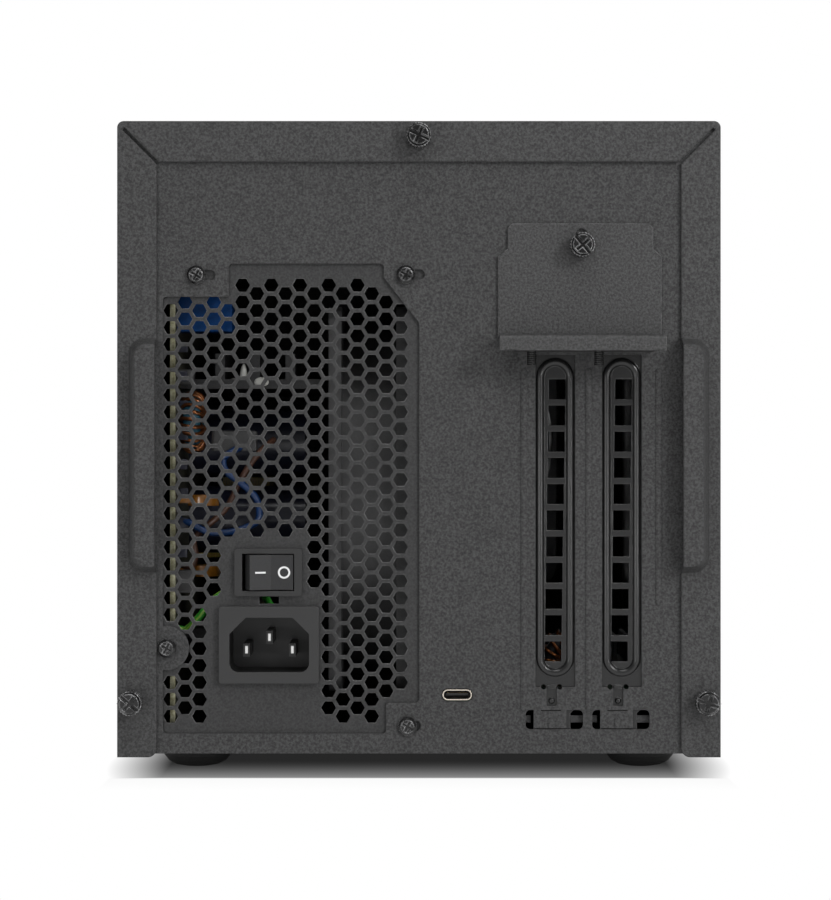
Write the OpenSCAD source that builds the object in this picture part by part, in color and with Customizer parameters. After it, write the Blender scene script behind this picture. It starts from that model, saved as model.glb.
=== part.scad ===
// Desktop expansion chassis for a dual-slot graphics card: a folded steel cover over a base pan and
// rear panel, a power supply on edge, a controller board with one slot, and a fan behind the front.
// X runs to the right seen from the rear, Y from the rear to the front, Z up; millimetres.

/* [Case] */
// Width over the cover's sides
case_w = 184; // [182:1:200]
// Height of the cover
cover_h = 194; // [192:1:215]
// Length from the rear flanges to the front face
case_l = 340; // [330:5:400]
// Free height under the cover
foot_h = 8; // [6:0.5:14]
// Thickness of the sheet steel
sheet_t = 1; // [0.9:0.05:1.2]
// Outer radius along the cover's top edges
corner_r = 2; // [1.5:0.25:4]
// Width of the flange folded in at the rear edge
flange_w = 12; // [11.5:0.25:13]
// Outer diameter of a foot
foot_d = 24; // [16:1:26]
// Distance of the feet from the case's ends
foot_inset = 45; // [20:1:50]
// Distance of the feet's centres from the case's sides
foot_side = 20.5; // [16:0.5:30]

/* [Finger lifts] */
// Height of a lift along the flange
lift_h = 72; // [50:1:90]
// How far a lift stands out
lift_out = 6; // [5.5:0.25:8]
// Height of a lift's lower end above the cover's lower edge
lift_low = 56; // [45:1:70]

/* [Slots] */
// Distance of the first slot's centre from the power supply
slot_gap = 39; // [38:0.5:44]
// Pitch of the slots
slot_pitch = 20.32; // [20.32:0.01:20.4]
// Width of a slot opening
slot_w = 12.1; // [12:0.05:12.6]
// Reach of the retainer's lip behind the flanges
lip_reach = 14; // [13:0.5:18]
// Height of the retainer's vertical plate above its shelf
retainer_h = 35.5; // [33:0.5:37]
// Number of square holes in a blank
blank_holes = 11; // [7:1:11]
// Width of a hole in a blank
blank_hole = 5.1; // [3:0.1:6]
// Height of a hole in a blank
blank_hole_h = 6.1; // [3:0.1:6.5]

/* [Power supply] */
// Thickness of the supply, which stands on edge
psu_w = 86; // [85:0.5:88]
// Height of the supply
psu_h = 150; // [149:0.5:152]
// Length of the supply
psu_l = 140; // [135:5:180]
// Gap between the supply and the cover's outer face
psu_gap = 8.5; // [7:0.25:9]
// Across flats of a grille hole
grille_hole = 3.95; // [2.5:0.05:4.1]
// Pitch of the grille's columns
grille_dx = 4.39; // [4.39:0.01:4.6]
// Pitch of the holes in a column
grille_dz = 5.17; // [5.17:0.01:5.4]

/* [Fans] */
// Side of a fan frame
fan_w = 120; // [119:0.5:121]
// Thickness of a fan
fan_t = 25; // [22:0.5:26]
// Number of blades
fan_blades = 7; // [5:1:9]
// Tilt of a blade
blade_tilt = 48; // [40:1:55]

/* [Controller board] */
// Length of the board
board_l = 150; // [145:5:180]
// Height of the standoffs
standoff_h = 13.6; // [12:0.2:14]
// Thickness of the board
board_t = 1.6; // [1.2:0.1:2]
// Length of the card connector
slot_len = 89; // [85:1:92]

/* [Switch] */
// Tilt of the rocker to each side
rocker_tilt = 11; // [8:0.5:11]

/* [Vents] */
// Pitch of the front and side perforations
vent_pitch = 10; // [9:0.5:12]
// Diameter of a perforation over its corners
vent_d = 7.6; // [4:0.1:8]

/* [Hidden] */
$fn = 32;

// Overrun of a cut past the face it starts from
over = 0.5;
// Length of the slices that a hull joins
sliver = 0.01;
// Running gap between the cover's flanges and the rear panel
slide_gap = 0.2;
// Radial play of a screw in its hole
screw_play = 0.07;

// Case planes
rear_y = lip_reach - (case_l + lip_reach) / 2;
front_y = rear_y + case_l;
top_z = foot_h + cover_h;
side_in = case_w / 2 - sheet_t;
panel_y = rear_y + sheet_t + slide_gap;
panel_in = panel_y + sheet_t;
// Play between the inner sheets and the cover's sides
side_play = 0.3;
inner_x = side_in - side_play;
pan_z = foot_h + sheet_t;
floor_z = pan_z + sheet_t;
inner_top = top_z - sheet_t - side_play;

// Front end
bezel_d = 10;
bezel_wall = 2;
bezel_face = 1.6;
grille_fit = 0.1;
bezel_gap = 0.4;
bezel_y = front_y - bezel_d;
cover_end = bezel_y - bezel_gap;
frame_back = cover_end - sheet_t * 2;
frame_lip = 14;
peg_r = 3;
peg_inset = 12;
vent_margin = 9;
vent_frame_w = 9;

// Screws: case thumbscrews
thumb_r = 3.8;
thumb_head = 7;
thumb_shank_r = 1.75;
thumb_shank = 4.5;
thumb_teeth = 24;
thumb_tooth = 0.3;
thumb_slot_w = 1.1;
thumb_slot_d = 1.6;
thumb_rim = 0.9;
thumb_cross = 5;
thumb_collar = 0.8;
thumb_collar_r = 3;
// Turn of each screw's slot: top, left, right and retainer
thumb_turns = [25, 40, 20, 50];
top_screw_drop = 4.9;
side_screw_in = 4.4;
side_screw_up = 17;

// Small screws
screw_r = 1.6;
screw_head_r = 3.3;
screw_head_h = 1.9;
screw_dome = 0.9;
screw_cross_w = 0.9;
screw_cross_l = 3.6;
screw_cross_d = 1.1;

// Mitre slits in the flange corners
slit_w = 1;
slit_end = 2.2;
flange_corner_r = 2.7;
flange_top = flange_w + 0.4;

// Finger lifts
lift_flat = 6.2;
lift_reach = 8.8;
lift_r = 5;
lift_top_r = 3.6;
lift_end_slope = 2.3;

// Slots
slot_off = 0.15;
shelf_up = 106.4;
shelf_web = 0.8;
slot_up = 4.1;
shelf_left = 12.6;
shelf_right = 9.1;
shelf_short = 0.5;
slot1_x = -case_w / 2 + psu_gap + psu_w + slot_gap + slot_off;
slot2_x = slot1_x + slot_pitch;
board_top = floor_z + standoff_h + board_t;
shelf_low = board_top + shelf_up;
shelf_z = shelf_low + sheet_t;
slot_low = board_top + slot_up;
slot_high = shelf_low - shelf_web;
shelf_x0 = slot1_x - shelf_left;
shelf_x1 = slot2_x + shelf_right;
shelf_reach = lip_reach - 2 * sheet_t - shelf_short;
shelf_y = rear_y - shelf_reach;

// Blanks
blank_t = 0.8;
blank_w = 18.4;
blank_x = -0.4;
ring_w = 11.5;
ring_low = slot_low + 3.1;
ring_high = slot_high - 1;
ring_out = 1.2;
blank_foot_w = 10.2;
blank_taper = 4.1;
blank_foot_z = floor_z + 3.6;
blank_neck_z = slot_low - 4;
blank_hole_pitch = 8.02;
blank_hole_top = ring_high - 9.5;
blank_hole_x = 0.65;
blank_hole_drift = 0.13;
tab_t = blank_t;
tab_gap = 0.05;
guide_gap = 0.25;
slot_screw_x = -7.6;
slot_screw_y = shelf_y + 4.6;
slot_screw_l = 6.2;
slot_screw_r = 1.4;
slot_screw_head = 1.6;

// Ribs, pockets and lower cut-outs of the rear panel
rib_r = 1.6;
rib_out = 0.5;
rib_w = 2.1;
rib_low = slot_low - 7.2;
rib_high = slot_high - 4.3;
rib_xs = [slot1_x - slot_w / 2 - 3.6, (slot1_x + slot2_x) / 2, slot2_x + slot_w / 2 + 5.2];
rib_short = 32.3;
pocket_x = -1.1;
pocket_w = 3.1;
pocket_h = 5.7;
ear_r = 0.75;
ear_dx = 2.45;
fold_out = 0.8;
fold_h = 0.55;
tip_r = 1.15;
tip_out = 0.9;
tip_up = 1.45;
foot_cut_w = 17.5;
foot_cut_h = 5.9;
foot_cut_x = -0.3;
foot_cut_low = floor_z + 6.4;
foot_tab_w = 10;
foot_tab_x = -1.3;
foot_cut_r = 1.4;
foot_tab_gap = 0.35;
foot_slit_w = 6.2;
foot_dimple_h = 3.2;
guide_band = 2.2;
guide_side = 2;
guide_over = 0.6;
guide_notch = 1.7;

// Retainer
retainer_x0 = shelf_x0 - 4.9;
retainer_x1 = shelf_x1 + 3;
retainer_clear = 0.25;
retainer_top_x0 = retainer_x0 + 3;
retainer_top_x1 = retainer_x1 - 2.6;
retainer_step_h = 2.4;
retainer_y = panel_y - sheet_t;
retainer_shelf_z = shelf_z + tab_t + tab_gap + slot_screw_head + retainer_clear;
retainer_top = retainer_shelf_z + retainer_h;
retainer_step_top = retainer_top - 7.7;
retainer_chamfer = 1.3;
retainer_bend = 1.4;
lip_h = 4.8;
retainer_screw_x = slot1_x + 7.9;
retainer_screw_z = retainer_top - 6.9;
retainer_slot_up = 3.6;

// Power supply planes
psu_t = 0.8;
psu_x = -case_w / 2 + psu_gap;
psu_x1 = psu_x + psu_w;
psu_z = floor_z + 1.4;
psu_z1 = psu_z + psu_h;
psu_y = panel_in;
psu_y1 = psu_y + psu_l;
psu_ear = 9;
psu_ear_t = 1;
psu_screws = [[15.5, psu_h - 6.3], [79.5, psu_h - 6.1], [6.5, 29.8], [80, 6]];
psu_screw_slots = [4.2, 4.2, 0, 2.4];
psu_head_r = 2.9;
psu_screw_l = 3.8;

// Window of the rear panel over the supply's grille, measured from the supply's lower left corner
window_r = 1.2;
window_lobe_r = 6.8;
window_left = 5.3;
window_low = 3.7;
window_right = 83.6;
window_top = psu_h - 2.8;
window_notch_x = 73.5;
window_notch_z = 13.1;
window_slant_x = 72.8;
window_slant_high = psu_h - 7.1;
window_slant_low = psu_h - 20.9;
window_step_x = 25.4;
window_step_z = psu_h - 12.9;
window = [[window_left, window_low], [window_notch_x, window_low], [window_notch_x, window_notch_z],
    [window_right, window_notch_z], [window_right, window_slant_low], [window_slant_x, window_slant_high],
    [window_slant_x, window_top], [window_step_x, window_top], [window_step_x, window_step_z],
    [window_left, window_step_z]];

// Grille: two offset families of columns, and the plain fields round the switch and the inlet
grille_cols = 17;
grille_rows = 27;
grille_x = 7.6;
grille_top = psu_h - 9.3;
plain_fields = [[23.5, 0, 48.8, 62.9], [19, 0, 53.2, 45.2]];
grille_margin = 0.3;
grille_low = 8;
grille_notch_low = 14.5;
grille_slant_in = 2;
grille_in = 0.7;

// Inlet and switch, placed from the supply's lower left corner
inlet_x = 37.75;
inlet_z = 30.85;
inlet_w = 30.5;
inlet_h = 23.5;
inlet_t = 2.2;
inlet_body_w = 27.2;
inlet_body_h = 20.2;
inlet_body_l = 17;
inlet_hole_w = 24.3;
inlet_hole_h = 16.6;
inlet_hole_d = 16;
inlet_hole_x = 0.1;
inlet_cut = 5;
inlet_r = 2.8;
inlet_play = 0.1;
pin_w = 2;
pin_h = 4;
pin_short = 1.4;
pin_tail = 6;
pin_tail_w = 0.8;
earth_up = 2.2;
line_down = 1.7;
line_dx = 7;
switch_x = 37.5;
switch_z = 52.95;
switch_w = 20.6;
switch_h = 14.5;
switch_t = 1.6;
switch_body_w = 18.9;
switch_body_h = 12.8;
switch_body_l = 13;
switch_hole_w = 15.9;
switch_hole_h = 11.4;
notch_x = 37.7;
notch_z = 44.4;
notch_w = 6;
notch_h = 2.2;
rocker_play = 0.35;
rocker_pin_r = 1;
rocker_pin_play = 0.05;
rocker_pin_l = 0.5;
rocker_rise = 4.2;
rocker_half = 7.6;
rocker_deep = 3.5;
rocker_base = 5;
rocker_edge = 0.09;
pivot_y = psu_y - switch_t + rocker_rise + 0.2;

// Inside the supply
psu_board_x = psu_x + 7.1;
psu_board_t = 1.6;
psu_board_in = 3;
psu_board_face = psu_board_x + psu_board_t;
post_r = 3;
post_in = 8;
fan_boss = 4.7;
fan_bore_r = 58.2;
fan_ring_r = 59.5;
fan_flange = 4;
fan_corner = 6;
fan_hole = 52.5;
fan_hole_r = 2.1;
hub_r = 19;
hub_wall = 1.6;
strut_w = 5;
strut_t = 3;
boss_r = 4;
shaft_r = 1.5;
shaft_play = 0.05;
blade_t = 1.6;
blade_r = 56.8;
blade_chord = 34;
rotor_base = 5;
rotor_end = 1.5;
psu_fan_y = psu_y + psu_l / 2;
psu_fan_z = psu_z + psu_h / 2;
psu_fan_x = psu_x1 - psu_t - fan_boss - fan_t;
guard_t = 1;
guard_ring_w = 1.6;
guard_rings = 6;

// Controller board
board_x0 = psu_x1 + 3;
board_x1 = inner_x - 3.7;
board_y = panel_in + 2.8;
board_hole_in = 5;
board_hole_end = 9;
standoff_r = 3;
usb_x = psu_x1 + 9.2;
usb_w = 9;
usb_h = 3.3;
usb_wall = 0.35;
usb_l = 8;
usb_gap = 0.35;
usb_y = panel_y + 0.2;
usb_z = board_top + usb_h / 2 + 0.05;
usb_tongue_w = 6.7;
usb_tongue_t = 0.7;
usb_tongue_l = 5;
slot_x = slot1_x - 8.65;
slot_y = board_y + 45;
slot_body_w = 7.5;
slot_body_h = 11.2;
slot_groove_w = 1.8;
slot_groove_d = 8;
slot_end_wall = 2;
latch_w = 4.2;
latch_pin_r = 1.2;
latch_play = 0.05;
latch_ear_t = 1.3;
latch_ear_l = 8;
latch_h = 17;
latch_t = 2.4;
latch_up = 4.5;
chip_t = 1.6;
heatsink_w = 32;
heatsink_fin = 9;
heatsink_fins = 8;
heatsink_x = board_x1 - heatsink_w - 6;
heatsink_from = 82;
heatsink_y = board_y + heatsink_from;
cap_r = 3.1;
cap_h = 8;
coil_r = 10;
coil_wire = 3.6;
socket_x = board_x0 + 9;
socket_l = 15;
socket_w = 13;
socket_h = 12;
plug_l = 14;
cable_r = 4.4;
cable_sides = 10;
cable_z = board_top + socket_h / 2;
wire_r = 1.2;
wire_lead = 3.6;
wire_sides = 8;
grommet_r = 9;
grommet_t = 3;

// Route of the power cable from the plug on the board to the supply's grommet: shares of the way in X
// and Y and in Z, and the distance it bows towards the front
cable_shares = [0, 0, 0.03, 0.12, 0.29, 0.49, 0.69, 0.86, 0.96, 1, 1, 1];
cable_rise_shares = [0, 0, 0.04, 0.12, 0.26, 0.41, 0.56, 0.71, 0.85, 1, 1, 1];
cable_bows = [9, 18, 28.4, 38.8, 48.3, 54.3, 55.2, 51.7, 44.2, 34.8, 24.8, 11.8];
// Route of the earth wire, from the supply's board to the inlet's earth tab, from the supply's corner
wire_route = [[11.5, 12.8, 34.6], [15.5, 10.8, 38.6], [19.5, 9.8, 43.6], [24.5, 11.8, 46.6],
    [29.5, 16.8, 48.1], [33.5, 22.8, 45.6], [36, 28.3, 41.6], [37.5, 31.8, 37.6], [37.85, 30, 33.8]];

side_vent_from = 60;
side_vent_up = 42;
side_vent_y0 = rear_y + side_vent_from;
side_vent_z0 = foot_h + side_vent_up;
side_vent_l = 190;
side_vent_h = 110;
side_vent_nx = floor(side_vent_l / vent_pitch) - 1;
side_vent_nz = floor(side_vent_h / vent_pitch);
side_vent_y1 = side_vent_y0 + (side_vent_nx + 3 / 2) * vent_pitch;
side_vent_z1 = side_vent_z0 + (side_vent_nz + 1) * vent_pitch;
return_l = 8;
pan_side_h = 15;
pan_side_z = pan_z + pan_side_h;
foot_x = case_w / 2 - foot_side;
rest_shares = [0.15, 0.8];
rest_in = 18;
rest_w = 8;
frame_screw_share = 0.2;
foot_face_share = 0.42;
foot_curve_shares = [[0.6, 0.05], [0.78, 0.18], [0.91, 0.4], [0.98, 0.65]];
foot_top_share = 0.85;
foot_sink = 4;
foot_play = 0.2;
front_fan_z = foot_h + cover_h / 2;
light_r = 1.5;
light_x = case_w / 2 - 14;
light_z = foot_h + 9;
guide_foot = 8;
ring_mid = ring_w / 2 - ring_out;
psu_ear_in = 16;
psu_ear_x = psu_x1 - psu_ear_in;
lid_head = 1.2;
lid_head_r = 2.6;
fan_screw_l = 9.5;
bulk_r = 11;
bulk_h = 38;
bulk_y_share = 0.4;
bulk_z_shares = [0.45, 0.62];
trafo_w = 36;
trafo_h = 32;
trafo_y_share = 0.68;
trafo_z_share = 0.42;
sink_rears = [36, 18];
sink_h = 44;
sink_t = 3;
sink_fin = 11;
sink_fins = 3;
sink_z_shares = [0.2, 0.73];
choke_r = 6.2;
choke_wire = 4;
choke_y = 20;
choke_z_share = 0.66;
film_h = 17;
film_y = 9;
film_t = 13;
film_w = 12;
film_down = 11;
disc_r = 4.8;
disc_t = 3.4;
disc_lead = 3;
disc_y = [12, 18];
disc_z_shares = [0.498, 0.35];
socket_y = board_y + board_l - socket_l - 9;
plug_end = socket_y + socket_l + plug_l;
grommet_x = 55.5;
grommet_z = 26.6;
cable_start = [socket_x + socket_w / 2, plug_end, cable_z];
cable_end = [psu_x + grommet_x, psu_y1 + grommet_t, psu_z + grommet_z];
cable_way = cable_end - cable_start;
inlet_lip_r = 0.8;
pin_play = 0.02;
wire_tab = [psu_x + inlet_x + inlet_hole_x, psu_y + inlet_body_l + pin_tail, psu_z + inlet_z + earth_up];
psu_from = [psu_x, psu_y, psu_z];
wire_path = concat([[psu_board_face, psu_y + wire_route[0][1], psu_z + wire_route[0][2]]],
    [for (p = wire_route) psu_from + p], [wire_tab + [0, wire_lead, 0], wire_tab]);
cable_path = concat([cable_start], [for (i = [0:len(cable_bows) - 1]) cable_start
    + [cable_way[0] * cable_shares[i], cable_way[1] * cable_shares[i] + cable_bows[i],
    cable_way[2] * cable_rise_shares[i]]], [cable_end]);
usb_fit = 0.02;
latch_y = slot_y + slot_len + latch_ear_l / 2;
latch_rise = 1.2;
latch_hook = 2.2;
chip_w = 8;
chip_edge = 4;
chip_in = 12;
chip_first = 12;
chip_pitch = 13;
heatsink_base = 2.4;
heatsink_fin_t = 1.2;
cap_in = 11;
cap_pitch = 8;
cap_first = 58;
coil_x = 6;
coil_first = 20;
coil_pitch = 14;
socket_wall = 1.5;
plug_play = 0.2;

// A flat outline in X and Z made into a plate from y towards the front
module upright(y, t) { translate([0, y + t, 0]) rotate([90, 0, 0]) linear_extrude(height = t) children(); }
// A flat outline in Y and Z made into a plate from x to the right
module sideways(x, t) { translate([x, 0, 0]) rotate([90, 0, 90]) linear_extrude(height = t) children(); }
// A flat outline in X and Y made into a plate from z upwards
module level(z, t) { translate([0, 0, z]) linear_extrude(height = t) children(); }

module rounded(w, h, r) {
    square([w - 2 * r, h], center = true);
    square([w, h - 2 * r], center = true);
    for (sx = [-1, 1], sz = [-1, 1])
        translate([sx * (w / 2 - r), sz * (h / 2 - r)]) circle(r = r);
}

// A flat outline with a hexagonal hole at each spot
module pierced(outline, spots, r) {
    difference() {
        polygon(outline);
        for (p = spots) translate(p) circle(r = r, $fn = 6);
    }
}

module block(x0, x1, y0, y1, z0, z1) { translate([x0, y0, z0]) cube([x1 - x0, y1 - y0, z1 - z0]); }

// Outline of the cover in X and Z, drawn in by a distance
module wrap_outline(inset, low) {
    w = case_w - 2 * inset;
    r = corner_r - inset > sheet_t / 4 ? corner_r - inset : sheet_t / 4;
    h = top_z - inset - low;
    translate([-w / 2, low]) square([w, h - r]);
    translate([-w / 2 + r, low]) square([w - 2 * r, h]);
    for (s = [-1, 1]) translate([s * (w / 2 - r), low + h - r]) circle(r = r);
}

module case_screw_places() {
    translate([0, top_z - top_screw_drop]) children();
    for (s = [-1, 1]) translate([s * (case_w / 2 - side_screw_in), foot_h + side_screw_up]) children();
}

module lift_base(inset) {
    x = case_w / 2 - flange_w;
    z = foot_h + lift_low;
    for (e = [lift_r, lift_h - lift_r]) translate([x + lift_reach - lift_r, 0, z + e])
        rotate([90, 0, 0]) cylinder(r = lift_r - inset, h = sliver);
    translate([x - inset * 2, -sliver, z + inset]) cube([sliver, sliver, lift_h - 2 * inset]);
}

module lift_crown(inset) {
    x = case_w / 2 - flange_w;
    z = foot_h + lift_low + lift_end_slope;
    h = lift_h - 2 * lift_end_slope;
    for (e = [lift_top_r, h - lift_top_r]) translate([x + lift_flat - lift_top_r, 0, z + e])
        rotate([90, 0, 0]) cylinder(r = lift_top_r - inset, h = sliver);
    translate([x - inset * 2, -sliver, z + inset]) cube([sliver, sliver, h - 2 * inset]);
}

// One finger lift: a raised pocket, open towards the middle of the case
module lift_skin() {
    hull() {
        translate([0, rear_y + sheet_t, 0]) lift_base(0);
        translate([0, rear_y - lift_out + sliver, 0]) lift_crown(0);
    }
}

module lift_hollow() {
    hull() {
        translate([0, rear_y + sheet_t + over, 0]) lift_base(sheet_t);
        translate([0, rear_y - lift_out + sheet_t, 0]) lift_crown(sheet_t);
    }
}

module cover() color("dimgray") {
    difference() {
        union() {
            upright(rear_y, cover_end - rear_y) difference() {
                wrap_outline(0, foot_h);
                wrap_outline(sheet_t, foot_h - over);
            }
            upright(rear_y, sheet_t) difference() {
                wrap_outline(0, foot_h);
                flange_opening();
                case_screw_places() circle(r = thumb_shank_r + screw_play);
            }
            for (m = [0, 1]) mirror([m, 0, 0]) lift_skin();
        }
        for (m = [0, 1]) mirror([m, 0, 0]) lift_hollow();
        // The lifts end at the flange's free edge and stay open there
        block(flange_w - case_w / 2, case_w / 2 - flange_w, rear_y - lift_out - over, rear_y + sheet_t,
            foot_h, top_z - flange_top);
        side_vent_window();
    }
    side_vent();
}

module flange_opening() {
    w = case_w - 2 * flange_w;
    translate([-w / 2, foot_h - over]) square([w, cover_h - flange_top + over]);
    for (m = [0, 1]) mirror([m, 0]) {
        translate([w / 2, foot_h]) difference() {
            translate([-over, -over]) square(flange_corner_r + over);
            translate([flange_corner_r, flange_corner_r]) circle(r = flange_corner_r);
        }
        translate([w / 2, top_z - flange_top]) rotate(45) {
            l = (flange_w - slit_end) * sqrt(2);
            translate([-over, -slit_w / 2]) square([l + over, slit_w]);
            translate([l, 0]) circle(r = slit_w / 2);
        }
    }
}

// Perforated field in the cover's right side, beside the card's own fans
module side_vent() {
    spots = [for (i = [0:side_vent_nx - 1], k = [0:side_vent_nz - 1])
        [side_vent_y0 + (i + 1 + (k % 2) / 2) * vent_pitch, side_vent_z0 + (k + 1) * vent_pitch]];
    sideways(side_in, sheet_t)
        pierced([[side_vent_y0, side_vent_z0], [side_vent_y1, side_vent_z0], [side_vent_y1, side_vent_z1],
            [side_vent_y0, side_vent_z1]], spots, vent_d / 2);
}

module side_vent_window() {
    block(side_in - over, case_w / 2 + over, side_vent_y0, side_vent_y1, side_vent_z0, side_vent_z1);
}

// Screw with a knurled head, its axis along Z and its head below the seat at z = 0
module knurled_screw(shank, turn) {
    ring = [for (i = [0:2 * thumb_teeth - 1])
        (thumb_r - (i % 2) * thumb_tooth) * [cos(i * 180 / thumb_teeth), sin(i * 180 / thumb_teeth)]];
    cylinder(r = thumb_shank_r, h = shank);
    translate([0, 0, -thumb_collar]) cylinder(r = thumb_collar_r, h = thumb_collar);
    difference() {
        translate([0, 0, -thumb_head]) union() {
            translate([0, 0, thumb_rim]) linear_extrude(height = thumb_head - thumb_collar - thumb_rim)
                polygon(ring);
            cylinder(r1 = thumb_r - thumb_rim, r2 = thumb_r - thumb_tooth, h = thumb_rim);
        }
        translate([0, 0, -thumb_head]) rotate(turn) {
            translate([-thumb_r - over, -thumb_slot_w / 2, -over])
                cube([2 * (thumb_r + over), thumb_slot_w, thumb_slot_d + over]);
            translate([-thumb_slot_w / 2, -thumb_cross / 2, -over])
                cube([thumb_slot_w, thumb_cross, thumb_slot_d + over]);
        }
    }
}

module case_thumbscrew(x, z, turn) {
    translate([x, rear_y, z]) rotate([-90, 0, 0]) knurled_screw(thumb_shank, turn);
}
module thumbscrew_top() color("black") case_thumbscrew(0, top_z - top_screw_drop, thumb_turns[0]);
module thumbscrew_left() color("black")
    case_thumbscrew(side_screw_in - case_w / 2, foot_h + side_screw_up, thumb_turns[1]);
module thumbscrew_right() color("black")
    case_thumbscrew(case_w / 2 - side_screw_in, foot_h + side_screw_up, thumb_turns[2]);

// Screw with a domed cross-recess head, its axis along Z and its head below the seat at z = 0
module dome_screw(head_r, head_h, shank_r, shank) {
    difference() {
        union() {
            translate([0, 0, -head_h + screw_dome]) cylinder(r = head_r, h = head_h - screw_dome);
            translate([0, 0, -head_h]) cylinder(r1 = head_r - screw_dome, r2 = head_r, h = screw_dome);
        }
        for (a = [30, 120]) translate([0, 0, -head_h]) rotate(a)
            translate([-screw_cross_l / 2, -screw_cross_w / 2, -over])
                cube([screw_cross_l, screw_cross_w, screw_cross_d + over]);
    }
    cylinder(r = shank_r, h = shank);
}

module slot_retainer() color("dimgray") {
    y_lip = rear_y - lip_reach;
    difference() {
        union() {
            upright(retainer_y, sheet_t) polygon([
                [retainer_x0, retainer_shelf_z], [retainer_x1, retainer_shelf_z],
                [retainer_x1, retainer_step_top - retainer_step_h], [retainer_top_x1, retainer_step_top],
                [retainer_top_x1, retainer_top - retainer_chamfer],
                [retainer_top_x1 - retainer_chamfer, retainer_top],
                [retainer_top_x0 + retainer_chamfer, retainer_top],
                [retainer_top_x0, retainer_top - retainer_chamfer], [retainer_top_x0, retainer_step_top],
                [retainer_x0, retainer_step_top - retainer_step_h]]);
            sideways(retainer_x0, retainer_x1 - retainer_x0) {
                translate([y_lip + retainer_bend, retainer_shelf_z])
                    square([retainer_y + sheet_t - y_lip - retainer_bend, sheet_t]);
                translate([y_lip, retainer_shelf_z + sheet_t - lip_h])
                    square([sheet_t, lip_h - retainer_bend]);
                intersection() {
                    translate([y_lip + retainer_bend, retainer_shelf_z + sheet_t - retainer_bend])
                        difference() {
                            circle(r = retainer_bend);
                            circle(r = retainer_bend - sheet_t);
                        }
                    translate([y_lip, retainer_shelf_z + sheet_t - retainer_bend]) square(retainer_bend);
                }
            }
        }
        upright(retainer_y - over, sheet_t + 2 * over) translate([retainer_screw_x, retainer_screw_z]) {
            circle(r = thumb_shank_r + screw_play);
            translate([-thumb_shank_r, 0]) square([2 * thumb_shank_r, retainer_slot_up]);
            translate([0, retainer_slot_up]) circle(r = thumb_shank_r);
        }
    }
}

module retainer_thumbscrew() color("black")
    translate([retainer_screw_x, retainer_y, retainer_screw_z]) rotate([-90, 0, 0])
        knurled_screw(thumb_shank, thumb_turns[3]);

module psu_corner(p) { translate([psu_x + p[0], psu_z + p[1]]) children(); }

module window_outline() {
    difference() {
        offset(r = window_r) offset(delta = -window_r) polygon([for (p = window) [psu_x + p[0], psu_z
            + p[1]]]);
        psu_corner(psu_screws[2]) circle(r = window_lobe_r);
    }
}

module rear_panel_outline() {
    difference() {
        translate([-inner_x, pan_z]) square([2 * inner_x, inner_top - pan_z]);
        window_outline();
        for (i = [0:3]) psu_corner(psu_screws[i]) {
            circle(r = screw_r + screw_play);
            if (psu_screw_slots[i] > 0) translate([psu_screw_slots[i] / 2, 0])
                rounded(psu_screw_slots[i] + 2 * screw_r, 2 * screw_r, screw_r - sliver);
        }
        for (x = [slot1_x, slot2_x]) translate([x, 0]) slot_cuts();
        translate([shelf_x0, shelf_z]) square([shelf_x1 - shelf_x0, shelf_reach]);
        translate([usb_x, usb_z]) rounded(usb_w + 2 * usb_gap, usb_h + 2 * usb_gap, usb_h / 2
            + usb_gap - sliver);
        translate([retainer_screw_x, retainer_screw_z]) circle(r = thumb_shank_r + screw_play);
        case_screw_places() circle(r = thumb_shank_r + screw_play);
    }
}

// Openings of one slot, centred on it
module slot_cuts() {
    translate([-slot_w / 2, slot_low]) square([slot_w, slot_high - slot_low]);
    translate([pocket_x - pocket_w / 2, slot_low - pocket_h]) square([pocket_w, pocket_h + over]);
    ear_places() circle(r = ear_r);
    translate([foot_cut_x, foot_cut_low + foot_cut_h / 2]) difference() {
        rounded(foot_cut_w, foot_cut_h, foot_cut_r);
        translate([foot_tab_x - foot_tab_w / 2, -foot_cut_h / 2 - over])
            square([foot_tab_w, foot_cut_h + 2 * over]);
    }
    // Gap under the tab between the two lobes, and the slit above it
    translate([foot_tab_x - foot_tab_w / 2 - sliver, foot_cut_low])
        square([foot_tab_w + 2 * sliver, foot_tab_gap]);
    translate([foot_tab_x - foot_slit_w / 2, foot_cut_low + foot_cut_h - foot_tab_gap])
        square([foot_slit_w, foot_tab_gap]);
}

// Relief holes at the upper corners of a pocket
module ear_places() { for (s = [-1, 1]) translate([pocket_x + s * ear_dx, slot_low]) children(); }

module rib(x, low, high) {
    intersection() {
        translate([x, panel_y + rib_r - rib_out, low - over]) cylinder(r = rib_r, h = high - low
            + 2 * over);
        upright(panel_y - rib_r, rib_r + sheet_t / 2) translate([x, 0]) stadium(rib_w, low, high);
    }
}

module rear_panel() color("dimgray") {
    difference() {
        union() {
            upright(panel_y, sheet_t) rear_panel_outline();
            // Returns along the sides and the top
            for (s = [-1, 1]) scale([s, 1, 1])
                block(inner_x - sheet_t, inner_x, panel_in, panel_in + return_l, pan_side_z + side_play,
                    inner_top);
            block(-inner_x, inner_x, panel_in, panel_in + return_l, inner_top - sheet_t, inner_top);
            // Shelf lanced out for the tabs of the cards and blanks
            block(shelf_x0, shelf_x1, shelf_y, panel_y + sheet_t, shelf_low, shelf_z);
            for (i = [0:2]) rib(rib_xs[i], i == 2 ? rib_low + rib_short : rib_low, rib_high);
            for (x = [slot1_x, slot2_x]) rib(x + foot_tab_x, foot_cut_low + foot_tab_gap, foot_cut_low
                + foot_tab_gap + foot_dimple_h);
        }
        for (x = [slot1_x, slot2_x]) translate([x + slot_screw_x, slot_screw_y, shelf_low - over])
            cylinder(r = slot_screw_r + screw_play, h = sheet_t + 2 * over);
    }
}

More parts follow.
